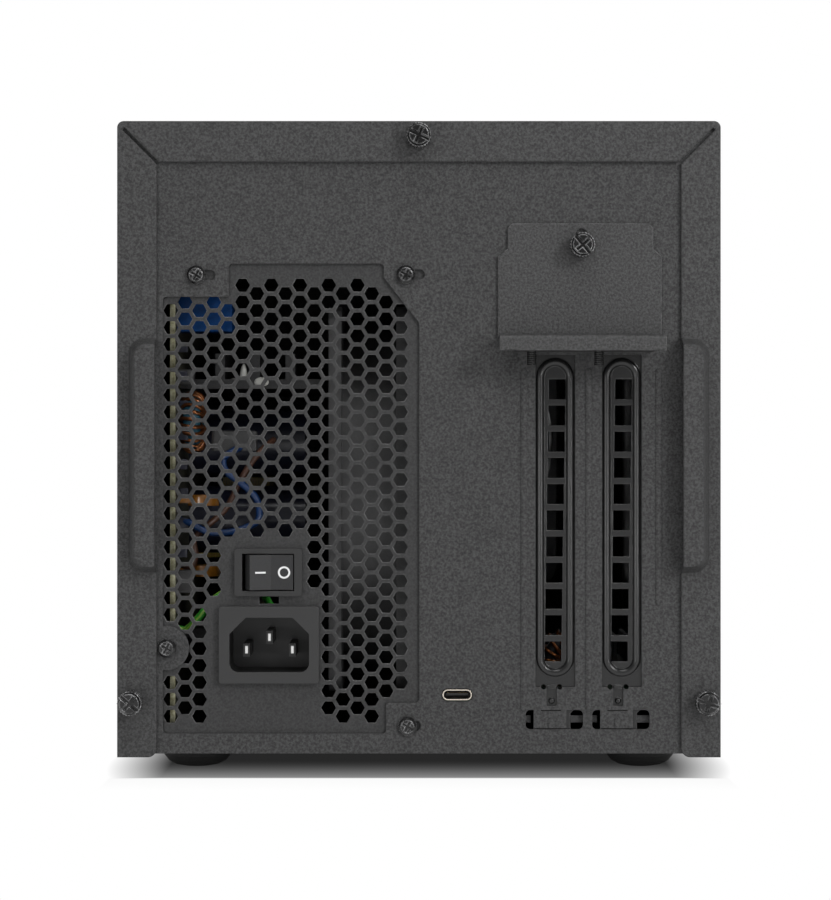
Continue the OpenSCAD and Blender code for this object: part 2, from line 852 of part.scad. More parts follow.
module foot_places() {
    for (sx = [-1, 1], y = [rear_y + foot_inset, front_y - foot_inset])
        translate([sx * foot_x, y]) children();
}

module base_pan() color("dimgray") {
    pan_end = frame_back;
    difference() {
        union() {
            block(-inner_x, inner_x, panel_in, pan_end, pan_z, floor_z);
            for (s = [-1, 1]) scale([s, 1, 1])
                block(inner_x - sheet_t, inner_x, panel_in, pan_end, pan_z, pan_side_z);
            // Embossed bars that carry the supply
            for (y = [psu_y + psu_l * rest_shares[0], psu_y + psu_l * rest_shares[1]])
                block(psu_x + rest_in, psu_x1 - rest_in, y, y + rest_w, floor_z, psu_z);
        }
        level(pan_z - over, sheet_t + 2 * over) {
            foot_places() circle(r = screw_r + screw_play);
            frame_screw_places() circle(r = screw_r + screw_play);
        }
    }
}

module frame_screw_places() {
    for (sx = [-1, 1]) translate([sx * case_w * frame_screw_share, frame_back - frame_lip / 2]) children();
}

module foot(sx, y) {
    translate([sx * foot_x, y, 0]) difference() {
        rotate_extrude() polygon(concat([[0, 0], [foot_d / 2 * foot_face_share, 0]],
            [for (c = foot_curve_shares) [foot_d / 2 * c[0], pan_z * c[1]]],
            [[foot_d / 2, pan_z * foot_top_share], [foot_d / 2, pan_z], [0, pan_z]]));
        translate([0, 0, -over]) cylinder(r = screw_head_r + foot_play, h = foot_sink + over);
        cylinder(r = screw_r + foot_play, h = pan_z + over);
    }
}
module foot_rear_left() color("black") foot(-1, rear_y + foot_inset);
module foot_rear_right() color("black") foot(1, rear_y + foot_inset);
module foot_front_left() color("black") foot(-1, front_y - foot_inset);
module foot_front_right() color("black") foot(1, front_y - foot_inset);

module foot_screws() color("silver")
    foot_places() translate([0, 0, foot_sink])
        dome_screw(screw_head_r, screw_head_h, screw_r, floor_z + sheet_t - foot_sink);

module frame_screws() color("black")
    frame_screw_places() translate([0, 0, pan_z])
        dome_screw(screw_head_r, screw_head_h, screw_r, 3 * sheet_t);

module front_frame() color("dimgray") {
    difference() {
        union() {
            upright(frame_back, sheet_t) difference() {
                translate([-inner_x, floor_z]) square([2 * inner_x, inner_top - floor_z]);
                translate([0, front_fan_z]) {
                    circle(r = fan_bore_r - over);
                    for (a = [0:3]) rotate(45 + 90 * a) translate([fan_hole * sqrt(2),
                        0]) circle(r = screw_r + screw_play);
                }
                for (s = [-1, 1]) translate([s * (inner_x - vent_margin), front_fan_z])
                    rounded(vent_frame_w, fan_w, vent_frame_w / 3);
                bezel_peg_places() circle(r = peg_r / 2 + screw_play);
            }
            block(-inner_x + 2 * sheet_t, inner_x - 2 * sheet_t, frame_back - frame_lip, frame_back
                + sheet_t,
                floor_z, floor_z + sheet_t);
            block(-inner_x, inner_x, frame_back - frame_lip, frame_back + sheet_t, inner_top - sheet_t,
                inner_top);
        }
        translate([0, 0, -over]) level(floor_z, sheet_t + 2 * over)
            frame_screw_places() circle(r = screw_r + screw_play);
    }
}

module bezel_peg_places() {
    for (sx = [-1, 1], z = [foot_h + peg_inset, top_z - peg_inset])
        translate([sx * (case_w / 2 - peg_inset * 2), z]) children();
}

// Frame round the front face
module front_bezel() color("dimgray") difference() {
    upright(bezel_y, bezel_d) wrap_outline(0, foot_h);
    upright(bezel_y - over, bezel_d + 2 * over) wrap_outline(bezel_wall, foot_h + bezel_wall);
}

// Perforated plate inside that frame, with pegs that snap into the front frame
module front_grille() color("dimgray") {
    nx = floor((case_w / 2 - vent_margin) / vent_pitch);
    nz = floor((cover_h / 2 - vent_margin) / vent_pitch);
    spots = [for (k = [-nz:nz], i = [-nx:(abs(k) % 2 == 1 ? nx - 1 : nx)])
        let (x = (i + (abs(k) % 2) / 2) * vent_pitch, z = front_fan_z + k * vent_pitch)
        if (norm([x - light_x, z - light_z]) > vent_pitch) [x, z]];
    x1 = case_w / 2 - bezel_wall - grille_fit;
    z0 = foot_h + bezel_wall + grille_fit;
    z1 = top_z - bezel_wall - grille_fit;
    upright(front_y - bezel_face, bezel_face) difference() {
        pierced([[-x1, z0], [x1, z0], [x1, z1], [-x1, z1]], spots, vent_d / 2);
        translate([light_x, light_z]) circle(r = light_r + screw_play);
    }
    upright(frame_back + sheet_t, front_y - bezel_face / 2 - frame_back - sheet_t)
        bezel_peg_places() circle(r = peg_r);
    upright(frame_back - sheet_t, 2 * sheet_t) bezel_peg_places() circle(r = peg_r / 2);
}

module status_light() color("white")
    upright(front_y - bezel_face * 2, bezel_face * 2) translate([light_x, light_z]) circle(r = light_r);

module bracket_guide() color("dimgray") {
    y = panel_in + blank_t + guide_gap;
    x0 = slot1_x - foot_cut_w / 2 - guide_side;
    x1 = slot2_x + foot_cut_w / 2 + guide_side;
    top = foot_cut_low + foot_cut_h / 2 + guide_band / 2;
    upright(y, sheet_t) difference() {
        translate([x0, floor_z]) square([x1 - x0, top - floor_z]);
        for (x = [slot1_x, slot2_x]) translate([x, 0]) guide_windows(top);
    }
    block(x0, x1, y, y + guide_foot, floor_z, floor_z + sheet_t);
}

// Windows that leave a narrow band behind the lobes of one slot's lower cut-out
module guide_windows(top) {
    z = foot_cut_low - guide_over;
    x0 = foot_cut_x - foot_cut_w / 2 - guide_over;
    x1 = foot_tab_x - foot_tab_w / 2 + guide_over;
    x2 = foot_tab_x + foot_tab_w / 2 - guide_over;
    x3 = foot_cut_x + foot_cut_w / 2 + guide_over;
    translate([x0, z]) square([x1 - x0, top - guide_band - z]);
    translate([x2, z]) square([x3 - x2, top - guide_band - z]);
    translate([x1 - guide_notch, z]) square([guide_notch, top + over - z]);
}

module stadium(w, low, high) {
    translate([-w / 2, low + w / 2]) square([w, high - low - w]);
    for (z = [low + w / 2, high - w / 2]) translate([0, z]) circle(r = w / 2);
}

module ring_profile() {
    intersection() {
        translate([ring_mid, 0]) circle(r = ring_out);
        translate([ring_mid - 2 * ring_out, -blank_t / 2]) square([4 * ring_out, 2 * ring_out]);
    }
}

// One slot blank: perforated plate with a raised ring, a tab for its screw and a narrow foot
module slot_blank(x) {
    translate([x, 0, 0]) {
        upright(panel_in, blank_t) difference() {
            union() {
                translate([blank_x - blank_w / 2, blank_neck_z]) square([blank_w, shelf_z + tab_gap
                    + tab_t - blank_neck_z]);
                polygon([[blank_x - blank_w / 2, blank_neck_z + sliver], [blank_x + blank_w / 2,
                    blank_neck_z + sliver],
                    [blank_x + blank_foot_w / 2, blank_neck_z - blank_taper], [blank_x + blank_foot_w / 2,
                        blank_foot_z],
                    [blank_x - blank_foot_w / 2, blank_foot_z], [blank_x - blank_foot_w / 2,
                        blank_neck_z - blank_taper]]);
            }
            for (i = [0:blank_holes - 1]) translate([blank_hole_x - i * blank_hole_drift, blank_hole_top
                - i * blank_hole_pitch])
                square([blank_hole, blank_hole_h], center = true);
            ear_places() circle(r = ear_r);
        }
        // Fold and raised tip that show in the panel's pocket
        block(pocket_x - pocket_w / 2 + guide_gap, pocket_x + pocket_w / 2 - guide_gap, panel_in - fold_out,
            panel_in + blank_t / 2, slot_low - fold_h, slot_low + fold_h);
        translate([pocket_x, panel_in + blank_t / 2, slot_low - pocket_h + tip_up]) rotate([90, 0, 0])
            cylinder(r1 = tip_r, r2 = tip_r / 2, h = tip_out + blank_t / 2);
        // Raised ring, rounded at its rim
        translate([0, panel_in, ring_low + ring_w / 2]) mirror([0, 1, 0])
            linear_extrude(height = ring_high - ring_low - ring_w) for (m = [0, 1]) mirror([m,
                0]) ring_profile();
        for (e = [0, 1]) translate([0, panel_in, e == 0 ? ring_low + ring_w / 2 : ring_high - ring_w / 2])
            rotate([90, 180 * (1 - e), 0]) rotate_extrude(angle = 180) ring_profile();
        // Tab bent out over the shelf
        difference() {
            block(blank_x - blank_w / 2, blank_x + blank_w / 2, shelf_y, panel_in + blank_t, shelf_z
                + tab_gap,
                shelf_z + tab_gap + tab_t);
            translate([slot_screw_x, slot_screw_y, shelf_z]) cylinder(r = slot_screw_r + screw_play,
                h = tab_t + over);
        }
    }
}
module slot_blank_left() color("black") slot_blank(slot1_x);
module slot_blank_right() color("black") slot_blank(slot2_x);

module slot_screws() color("silver")
    for (x = [slot1_x, slot2_x]) translate([x + slot_screw_x, slot_screw_y, shelf_z + tab_gap + tab_t])
        rotate([180, 0, 0]) dome_screw(screw_head_r - screw_r / 2, slot_screw_head, slot_screw_r,
            slot_screw_l);

// True where a grille hole centred there lies in its field
function in_field(x, z, f, m) = x > f[0] - m && x < f[2] + m && z > f[1] - m && z < f[3] + m;
function in_window(x, z) = x > window_left + grille_in && x < window_right - grille_in && z > grille_low
    && z < window_top - grille_in && (x > window_step_x + grille_in || z < window_step_z - grille_in)
    && (x < window_slant_x || (z > grille_notch_low && z < window_slant_high - grille_slant_in
    - (x - window_slant_x) * (window_slant_high - window_slant_low) / (window_right - window_slant_x)));
// Centres of the grille's holes, from the supply's lower left corner
grille_spots = [for (k = [0:grille_cols - 1], n = [0:grille_rows - 1])
    let (x = grille_x + grille_dx * k, z = grille_top - grille_dz * (n + (k % 2 == 0 ? 1 / 2 : 0)),
        m = grille_margin + grille_hole / 2,
        plain = max([for (f = plain_fields) in_field(x, z, f, m) ? 1 : 0]),
        lobe = norm([x, z] - psu_screws[2]) < screw_head_r + m)
    if (plain == 0 && !lobe && in_window(x, z)) [psu_x + x, psu_z + z]];

module psu_base() color("dimgray") {
    difference() {
        union() {
            upright(psu_y, psu_t) difference() {
                pierced([[psu_x, psu_z], [psu_x1, psu_z], [psu_x1, psu_z1], [psu_x, psu_z1]], grille_spots,
                    grille_hole / sqrt(3));
                psu_corner([inlet_x, inlet_z])
                    square([inlet_body_w + 2 * inlet_play, inlet_body_h + 2 * inlet_play], center = true);
                psu_corner([switch_x, switch_z])
                    square([switch_body_w + 2 * inlet_play, switch_body_h + 2 * inlet_play], center = true);
                psu_corner([notch_x, notch_z]) square([notch_w, notch_h], center = true);
                for (p = psu_screws) psu_corner(p) circle(r = screw_r + screw_play);
            }
            block(psu_x, psu_x + psu_t, psu_y, psu_y1, psu_z, psu_z1);
            block(psu_x, psu_x1, psu_y1 - psu_t, psu_y1, psu_z, psu_z1);
            // Posts that carry the board
            for (y = [psu_y + psu_board_in + post_in, psu_y1 - psu_board_in - post_in],
                z = [psu_z + psu_board_in + post_in, psu_z1 - psu_board_in - post_in])
                translate([psu_x + psu_t / 2, y, z]) rotate([0, 90, 0]) cylinder(r = post_r,
                    h = psu_board_x - psu_x - psu_t / 2);
            // Ears for the lid screws
            for (y = [psu_y + psu_t / 2, psu_y1 - psu_t / 2 - psu_ear], z = [psu_z + psu_t,
                psu_z1 - psu_t - psu_ear_t])
                block(psu_ear_x - psu_ear / 2, psu_ear_x + psu_ear / 2, y, y + psu_ear, z, z + psu_ear_t);
        }
        lid_screw_places() translate([0, 0, -over]) cylinder(r = screw_r / 2 + screw_play, h = psu_h
            + 2 * over);
    }
}

module lid_screw_places() {
    for (y = [psu_y + (psu_t + psu_ear) / 2, psu_y1 - (psu_t + psu_ear) / 2]) translate([psu_ear_x, y,
        psu_z]) children();
}

module fan_corner_places() { for (a = [0:3]) rotate(45 + 90 * a) translate([fan_hole * sqrt(2),
    0]) children(); }

module psu_cover() color("dimgray") {
    difference() {
        union() {
            sideways(psu_x1 - psu_t, psu_t) difference() {
                translate([psu_y + psu_t, psu_z]) square([psu_l - 2 * psu_t, psu_h]);
                translate([psu_fan_y, psu_fan_z]) circle(r = fan_bore_r - over);
            }
            for (z = [psu_z, psu_z1 - psu_t]) block(psu_x + psu_t, psu_x1, psu_y + psu_t, psu_y1 - psu_t,
                z, z + psu_t);
            // Dimples that hold the fan off the plate
            sideways(psu_x1 - psu_t - fan_boss, fan_boss + psu_t / 2)
                translate([psu_fan_y, psu_fan_z]) fan_corner_places() circle(r = boss_r);
        }
        sideways(psu_x1 - psu_t - fan_boss - over, fan_boss + psu_t + 2 * over)
            translate([psu_fan_y, psu_fan_z]) fan_corner_places() circle(r = screw_r + screw_play);
        lid_screw_places() translate([0, 0, -over]) cylinder(r = screw_r / 2 + screw_play, h = psu_h
            + 2 * over);
    }
}

module psu_mount_screws() color("dimgray")
    for (p = psu_screws) translate([psu_x + p[0], panel_y, psu_z + p[1]]) rotate([-90, 0, 0])
        dome_screw(psu_head_r, screw_head_h, screw_r, psu_screw_l);

module psu_lid_screws() color("silver")
    lid_screw_places() {
        translate([0, 0, psu_h]) rotate([180, 0, 0]) dome_screw(lid_head_r, lid_head, screw_r / 2, psu_t
            + psu_ear_t + sheet_t);
        dome_screw(lid_head_r, lid_head, screw_r / 2, psu_t + psu_ear_t + sheet_t);
    }

// Fan frame with its axis along Z and its outlet at the top
module fan_frame_shape() {
    difference() {
        union() {
            for (z = [0, fan_t - fan_flange]) translate([0, 0,
                z]) linear_extrude(height = fan_flange) rounded(fan_w, fan_w, fan_corner);
            cylinder(r = fan_ring_r, h = fan_t);
        }
        translate([0, 0, -over]) cylinder(r = fan_bore_r, h = fan_t + 2 * over);
        translate([0, 0, -over]) linear_extrude(height = fan_t
            + 2 * over) fan_corner_places() circle(r = fan_hole_r);
    }
    difference() {
        union() {
            cylinder(r = hub_r - hub_wall, h = strut_t);
            for (a = [0:3]) rotate(90 * a + 20) translate([hub_r / 2, -strut_w / 2, 0])
                cube([(fan_bore_r + fan_ring_r) / 2 - hub_r / 2, strut_w, strut_t]);
            cylinder(r = boss_r, h = fan_t / 2);
        }
        translate([0, 0, strut_t / 2]) cylinder(r = shaft_r + shaft_play, h = fan_t);
    }
}

// Rotor that turns in that frame
module fan_rotor_shape() {
    top = fan_t - rotor_end;
    difference() {
        translate([0, 0, rotor_base]) cylinder(r = hub_r, h = top - rotor_base);
        translate([0, 0, rotor_base - over]) cylinder(r = hub_r - hub_wall,
            h = top - rotor_base - hub_wall + over);
    }
    translate([0, 0, strut_t]) cylinder(r = shaft_r, h = top - strut_t - hub_wall / 2);
    intersection() {
        difference() {
            translate([0, 0, rotor_base]) cylinder(r = blade_r, h = top - rotor_base);
            cylinder(r = hub_r - hub_wall / 2, h = fan_t);
        }
        for (a = [0:fan_blades - 1]) rotate(a * 360 / fan_blades) translate([0, 0, (rotor_base + top) / 2])
            rotate([blade_tilt, 0, 0]) translate([hub_r / 2, -blade_chord / 2, -blade_t / 2])
                cube([blade_r, blade_chord, blade_t]);
    }
}

module psu_fan_place() { translate([psu_fan_x, psu_fan_y, psu_fan_z]) rotate([90, 0, 90]) children(); }
module psu_fan_frame() color("gray") psu_fan_place() fan_frame_shape();
module psu_fan_rotor() color("black") psu_fan_place() fan_rotor_shape();

module psu_fan_guard() color("silver") {
    rings = guard_rings;
    sideways(psu_x1, guard_t) translate([psu_fan_y, psu_fan_z]) {
        for (i = [1:rings]) difference() {
            circle(r = fan_bore_r * i / rings);
            circle(r = fan_bore_r * i / rings - guard_ring_w);
        }
        difference() {
            for (a = [0:3]) rotate(45 + 90 * a) translate([hub_r / 2, -guard_ring_w])
                square([fan_hole * sqrt(2) - hub_r / 2, 2 * guard_ring_w]);
            fan_corner_places() circle(r = screw_r + screw_play);
        }
        difference() {
            fan_corner_places() circle(r = boss_r);
            fan_corner_places() circle(r = screw_r + screw_play);
        }
    }
}

module psu_fan_screws() color("silver")
    translate([psu_x1 + guard_t, psu_fan_y, psu_fan_z]) rotate([90, 0, 90]) fan_corner_places()
        rotate([180, 0, 0]) dome_screw(screw_head_r, screw_head_h, screw_r, fan_screw_l);

module psu_board() color("tan")
    block(psu_board_x, psu_board_face, psu_y + psu_board_in, psu_y1 - psu_board_in, psu_z + psu_board_in,
        psu_z1 - psu_board_in);

module psu_bulk_capacitors() color("midnightblue")
    for (i = [0:1]) translate([psu_board_face, psu_y + psu_l * bulk_y_share, psu_z
        + psu_h * bulk_z_shares[i]])
        rotate([0, 90, 0]) cylinder(r = bulk_r, h = bulk_h);

module psu_transformer() color("goldenrod") {
    y = psu_y + psu_l * trafo_y_share;
    z = psu_z + psu_h * trafo_z_share;
    block(psu_board_face, psu_board_face + trafo_h, y - trafo_w / 2, y + trafo_w / 2, z - trafo_w / 4, z
        + trafo_w / 4);
    block(psu_board_face + trafo_h / 4, psu_board_face + trafo_h * 3 / 4, y - trafo_w / 3, y
        + trafo_w / 3, z - trafo_w / 2, z + trafo_w / 2);
}

// Two finned heat sinks that stand on the board and run from the rear to the front
module psu_heatsinks() color("silver")
    for (i = [0:1]) {
        z = psu_z + psu_h * sink_z_shares[i];
        y0 = psu_y + sink_rears[i];
        block(psu_board_face, psu_board_face + sink_h, y0, psu_y1 - sink_rears[1], z, z + sink_t);
        for (k = [1:sink_fins]) block(psu_board_face + sink_h * k / (sink_fins + 1), psu_board_face
            + sink_h * k / (sink_fins + 1) + sink_t,
            y0, psu_y1 - sink_rears[1], z + sink_t / 2, z + sink_fin);
    }

module psu_choke() color("peru")
    translate([psu_board_face + choke_wire, psu_y + choke_y, psu_z + psu_h * choke_z_share]) rotate([0,
        90, 0])
        rotate_extrude() translate([choke_r, 0]) circle(r = choke_wire);

module psu_filter_capacitor() color("royalblue")
    block(psu_board_face, psu_board_face + film_h, psu_y + film_y, psu_y + film_y + film_t,
        psu_z1 - film_w - film_down, psu_z1 - film_down);

module psu_disc_capacitors() color("orange")
    for (i = [0:1]) translate([psu_board_face, psu_y + disc_y[i], psu_z + psu_h * disc_z_shares[i]]) {
        translate([disc_r + disc_lead, 0, 0]) cylinder(r = disc_r, h = disc_t, center = true);
        for (s = [-1, 1]) translate([0, s * disc_r / 2 - disc_t / 4, -disc_t / 4])
            cube([disc_r + disc_lead, disc_t / 2, disc_t / 2]);
    }

module psu_grommet() color("black") {
    translate([cable_end[0], psu_y1, cable_end[2]]) rotate([-90, 0, 0]) cylinder(r = grommet_r,
        h = grommet_t);
}

module inlet_outline(w, h, cut) {
    polygon([[-w / 2, -h / 2], [w / 2, -h / 2], [w / 2, h / 2 - cut], [w / 2 - cut, h / 2], [-w / 2 + cut,
        h / 2], [-w / 2, h / 2 - cut]]);
}

module inlet_housing() color("black") {
    difference() {
        union() {
            upright(psu_y - inlet_t, inlet_t) psu_corner([inlet_x, inlet_z]) rounded(inlet_w, inlet_h,
                inlet_lip_r);
            upright(psu_y - inlet_t / 2, inlet_body_l + inlet_t / 2)
                psu_corner([inlet_x, inlet_z]) square([inlet_body_w, inlet_body_h], center = true);
        }
        upright(psu_y - inlet_t - over, inlet_hole_d + over) psu_corner([inlet_x + inlet_hole_x, inlet_z]) {
            intersection() {
                inlet_outline(inlet_hole_w, inlet_hole_h, inlet_cut);
                translate([0, inlet_hole_h / 2]) rounded(inlet_hole_w, inlet_hole_h * 2, inlet_r);
            }
        }
        inlet_pin_places() translate([-pin_w / 2 - pin_play, 0, -pin_h / 2 - pin_play])
            cube([pin_w + 2 * pin_play, inlet_body_l * 2, pin_h + 2 * pin_play]);
    }
}

module inlet_pin_places() {
    for (p = [[0, earth_up], [-line_dx, -line_down], [line_dx, -line_down]])
        translate([psu_x + inlet_x + inlet_hole_x + p[0], psu_y, psu_z + inlet_z + p[1]]) children();
}

module inlet_pins() color("silver")
    inlet_pin_places() {
        translate([-pin_w / 2, pin_short - inlet_t, -pin_h / 2]) cube([pin_w, inlet_body_l
            + inlet_t - pin_short, pin_h]);
        translate([-pin_tail_w / 2, inlet_body_l - over, -pin_h / 2]) cube([pin_tail_w, pin_tail + over,
            pin_h]);
    }

module switch_housing() color("black") {
    difference() {
        union() {
            upright(psu_y - switch_t, switch_t) psu_corner([switch_x, switch_z]) rounded(switch_w,
                switch_h, inlet_lip_r);
            upright(psu_y - switch_t / 2, switch_body_l + switch_t / 2)
                psu_corner([switch_x, switch_z]) square([switch_body_w, switch_body_h], center = true);
        }
        upright(psu_y - switch_t - over, switch_body_l + switch_t - bezel_wall + over)
            psu_corner([switch_x, switch_z]) square([switch_hole_w, switch_hole_h], center = true);
        translate([psu_x + switch_x, pivot_y, psu_z + switch_z])
            cylinder(r = rocker_pin_r + rocker_pin_play, h = switch_hole_h + 2 * rocker_pin_l,
                center = true);
    }
}

// Rocker seen from above, its pivot at the origin and its pressed faces towards -Y
module rocker_outline() {
    c = [rocker_half * cos(rocker_tilt) - rocker_rise * sin(rocker_tilt), rocker_half * sin(rocker_tilt)
        + rocker_rise * cos(rocker_tilt)];
    polygon([[c[0], -c[1]], [rocker_half - rocker_edge, -rocker_pin_r], [rocker_base, rocker_deep],
        [-rocker_base, rocker_deep],
        [-rocker_half + rocker_edge, -rocker_pin_r], [-c[0], -c[1]], [0, -rocker_rise / cos(rocker_tilt)]]);
}

module switch_rocker() color("black")
    translate([psu_x + switch_x, pivot_y, psu_z + switch_z]) rotate(rocker_tilt) {
        h = switch_hole_h - 2 * rocker_play;
        linear_extrude(height = h, center = true) rocker_outline();
        cylinder(r = rocker_pin_r, h = switch_hole_h + 2 * rocker_pin_l - 2 * screw_play, center = true);
    }

// A tube with flat ends swept along points, its sides spread about the route's own direction
function unit(v) = v / norm(v);
function tangent(p, i) = unit(p[min(i + 1, len(p) - 1)] - p[max(i - 1, 0)]);
function side_of(t) = unit(cross(t, abs(t[2]) < 0.9 ? [0, 0, 1] : [1, 0, 0]));
module swept_tube(p, r, n) {
    rings = [for (i = [0:len(p) - 1]) let (t = tangent(p, i), a = side_of(t), b = cross(t, a))
        [for (k = [0:n - 1]) p[i] + r * (cos(360 * k / n) * a + sin(360 * k / n) * b)]];
    m = len(p);
    polyhedron(points = [for (ring = rings) each ring], faces = concat(
        [[for (k = [0:n - 1]) k]], [[for (k = [0:n - 1]) (m - 1) * n + n - 1 - k]],
        [for (i = [0:m - 2], k = [0:n - 1]) [i * n + (k + 1) % n, i * n + k, (i + 1) * n + k]],
        [for (i = [0:m - 2], k = [0:n - 1]) [i * n + (k + 1) % n, (i + 1) * n + k, (i + 1) * n + (k
            + 1) % n]]));
}

module earth_wire() color("limegreen") swept_tube(wire_path, wire_r, wire_sides);

module power_cable() color("black") swept_tube(cable_path, cable_r, cable_sides);

module front_fan_place() { translate([0, frame_back - fan_t, front_fan_z]) rotate([-90, 0, 0]) children(); }
module front_fan_frame() color("black") front_fan_place() fan_frame_shape();
module front_fan_rotor() color("black") front_fan_place() fan_rotor_shape();
module front_fan_screws() color("black")
    translate([0, frame_back + sheet_t, front_fan_z]) rotate([90, 0, 0]) fan_corner_places()
        dome_screw(screw_head_r, screw_head_h, screw_r, fan_screw_l);

module board_hole_places() {
    for (x = [board_x0 + board_hole_in, board_x1 - board_hole_in], y = [board_y + board_hole_end, board_y
        + board_l / 2, board_y + board_l - board_hole_end])
        translate([x, y]) children();
}

module controller_board() color("darkgreen")
    level(floor_z + standoff_h, board_t) difference() {
        translate([board_x0, board_y]) square([board_x1 - board_x0, board_l]);
        board_hole_places() circle(r = screw_r + screw_play);
    }

module board_standoffs() color("goldenrod")
    board_hole_places() translate([0, 0, floor_z]) difference() {
        cylinder(r = standoff_r, h = standoff_h, $fn = 6);
        translate([0, 0, sheet_t]) cylinder(r = screw_r + screw_play, h = standoff_h);
    }

module board_screws() color("silver")
    board_hole_places() translate([0, 0, board_top]) rotate([180, 0, 0])
        dome_screw(screw_head_r - over, screw_head_h, screw_r, board_t + standoff_h / 2);

module usb_c_shell() color("silver")
    upright(usb_y, usb_l) translate([usb_x, usb_z]) difference() {
        rounded(usb_w, usb_h, usb_h / 2 - sliver);
        rounded(usb_w - 2 * usb_wall, usb_h - 2 * usb_wall, usb_h / 2 - usb_wall - sliver);
    }

module usb_c_tongue() color("black") {
    upright(usb_y + usb_l - usb_tongue_l - 2 * usb_wall, usb_tongue_l + usb_wall) translate([usb_x, usb_z])
        square([usb_tongue_w, usb_tongue_t], center = true);
    upright(usb_y + usb_l - 2 * usb_wall, 2 * usb_wall) translate([usb_x, usb_z])
        rounded(usb_w - 2 * usb_wall - usb_fit, usb_h - 2 * usb_wall - usb_fit,
            usb_h / 2 - usb_wall - usb_fit);
}

module pcie_slot() color("black") {
    difference() {
        block(slot_x - slot_body_w / 2, slot_x + slot_body_w / 2, slot_y, slot_y + slot_len, board_top,
            board_top + slot_body_h);
        block(slot_x - slot_groove_w / 2, slot_x + slot_groove_w / 2, slot_y + slot_end_wall, slot_y
            + slot_len - slot_end_wall,
            board_top + slot_body_h - slot_groove_d, board_top + slot_body_h + over);
    }
    difference() {
        for (s = [-1, 1]) translate([slot_x + s * (slot_body_w / 2 - latch_ear_t / 2) - latch_ear_t / 2,
            slot_y + slot_len - over, board_top])
            cube([latch_ear_t, latch_ear_l + over, 2 * latch_up]);
        translate([slot_x, latch_y, board_top + latch_up]) rotate([0, 90, 0])
            cylinder(r = latch_pin_r + latch_play, h = slot_body_w + 2 * over, center = true);
    }
}

// Latch that tips away from the connector about the pin between its ears
module slot_latch() color("whitesmoke") {
    translate([slot_x, latch_y, board_top + latch_up]) {
        rotate([0, 90, 0]) cylinder(r = latch_pin_r, h = slot_body_w, center = true);
        rotate([0, 90, 0]) cylinder(r = latch_up - latch_rise, h = latch_w, center = true);
        translate([-latch_w / 2, -latch_t / 2, 0]) cube([latch_w, latch_t, latch_h]);
        translate([-latch_w / 2, -latch_t / 2 - latch_hook, latch_h - latch_t]) cube([latch_w,
            latch_hook + latch_t, latch_t]);
    }
}

module board_chips() color("black") {
    block(heatsink_x + chip_edge, heatsink_x + heatsink_w - chip_edge, heatsink_y + chip_edge,
        heatsink_y + heatsink_w - chip_edge, board_top, board_top + chip_t);
    for (i = [0:3]) {
        y = board_y + chip_first + chip_pitch * i;
        block(board_x1 - chip_in - chip_w, board_x1 - chip_in, y, y + chip_w, board_top, board_top
            + chip_t);
    }
    block(usb_x - chip_w / 2, usb_x + chip_w / 2, usb_y + usb_l + chip_w, usb_y + usb_l + 2 * chip_w,
        board_top, board_top + chip_t);
}

module board_heatsink() color("silver") {
    z = board_top + chip_t;
    block(heatsink_x, heatsink_x + heatsink_w, heatsink_y, heatsink_y + heatsink_w, z, z + heatsink_base);
    for (i = [0:heatsink_fins - 1]) {
        x = heatsink_x + i * (heatsink_w - heatsink_fin_t) / (heatsink_fins - 1);
        block(x, x + heatsink_fin_t, heatsink_y, heatsink_y + heatsink_w, z + heatsink_base / 2, z
            + heatsink_base + heatsink_fin);
    }
}

module board_capacitors() color("gainsboro")
    for (i = [0:5]) translate([board_x0 + cap_in + (i % 2) * cap_pitch, board_y + cap_first
        + floor(i / 2) * cap_pitch, board_top])
        cylinder(r = cap_r, h = cap_h);

// Two upright wound coils
module board_coils() color("peru")
    for (i = [0:1]) translate([slot1_x + coil_x, board_y + coil_first + i * coil_pitch, board_top + coil_r])
        rotate([90, 0, 0]) rotate_extrude() translate([coil_r - coil_wire, 0]) circle(r = coil_wire);

module power_socket() color("black") difference() {
    block(socket_x, socket_x + socket_w, socket_y, socket_y + socket_l, board_top, board_top + socket_h);
    block(socket_x + socket_wall, socket_x + socket_w - socket_wall, socket_y + socket_l / 3, socket_y
        + socket_l + over,
        board_top + socket_wall, board_top + socket_h - socket_wall);
}

module power_plug() color("black") {
    block(socket_x + socket_wall + plug_play, socket_x + socket_w - socket_wall - plug_play, socket_y
        + socket_l / 3 + plug_play,
        socket_y + socket_l + over, board_top + socket_wall + plug_play, board_top
            + socket_h - socket_wall - plug_play);
    block(socket_x, socket_x + socket_w, socket_y + socket_l, plug_end, board_top + plug_play, board_top
        + socket_h);
}

cover();
thumbscrew_top();
thumbscrew_left();
thumbscrew_right();
slot_retainer();
retainer_thumbscrew();
rear_panel();
base_pan();
front_frame();
front_bezel();
front_grille();
frame_screws();
foot_rear_left();
foot_rear_right();
foot_front_left();
foot_front_right();
foot_screws();
bracket_guide();
slot_blank_left();
slot_blank_right();
slot_screws();
psu_base();
psu_cover();
psu_mount_screws();
psu_lid_screws();
psu_fan_frame();
psu_fan_rotor();
psu_fan_guard();
psu_fan_screws();
psu_board();
psu_bulk_capacitors();
psu_transformer();
psu_heatsinks();
psu_choke();
psu_filter_capacitor();
psu_disc_capacitors();
psu_grommet();
inlet_housing();
inlet_pins();
switch_housing();
switch_rocker();
earth_wire();
front_fan_frame();
front_fan_rotor();
front_fan_screws();
controller_board();
board_standoffs();
board_screws();
usb_c_shell();
usb_c_tongue();
pcie_slot();
slot_latch();
board_heatsink();
board_chips();
board_capacitors();
board_coils();
power_socket();
power_plug();
power_cable();
status_light();
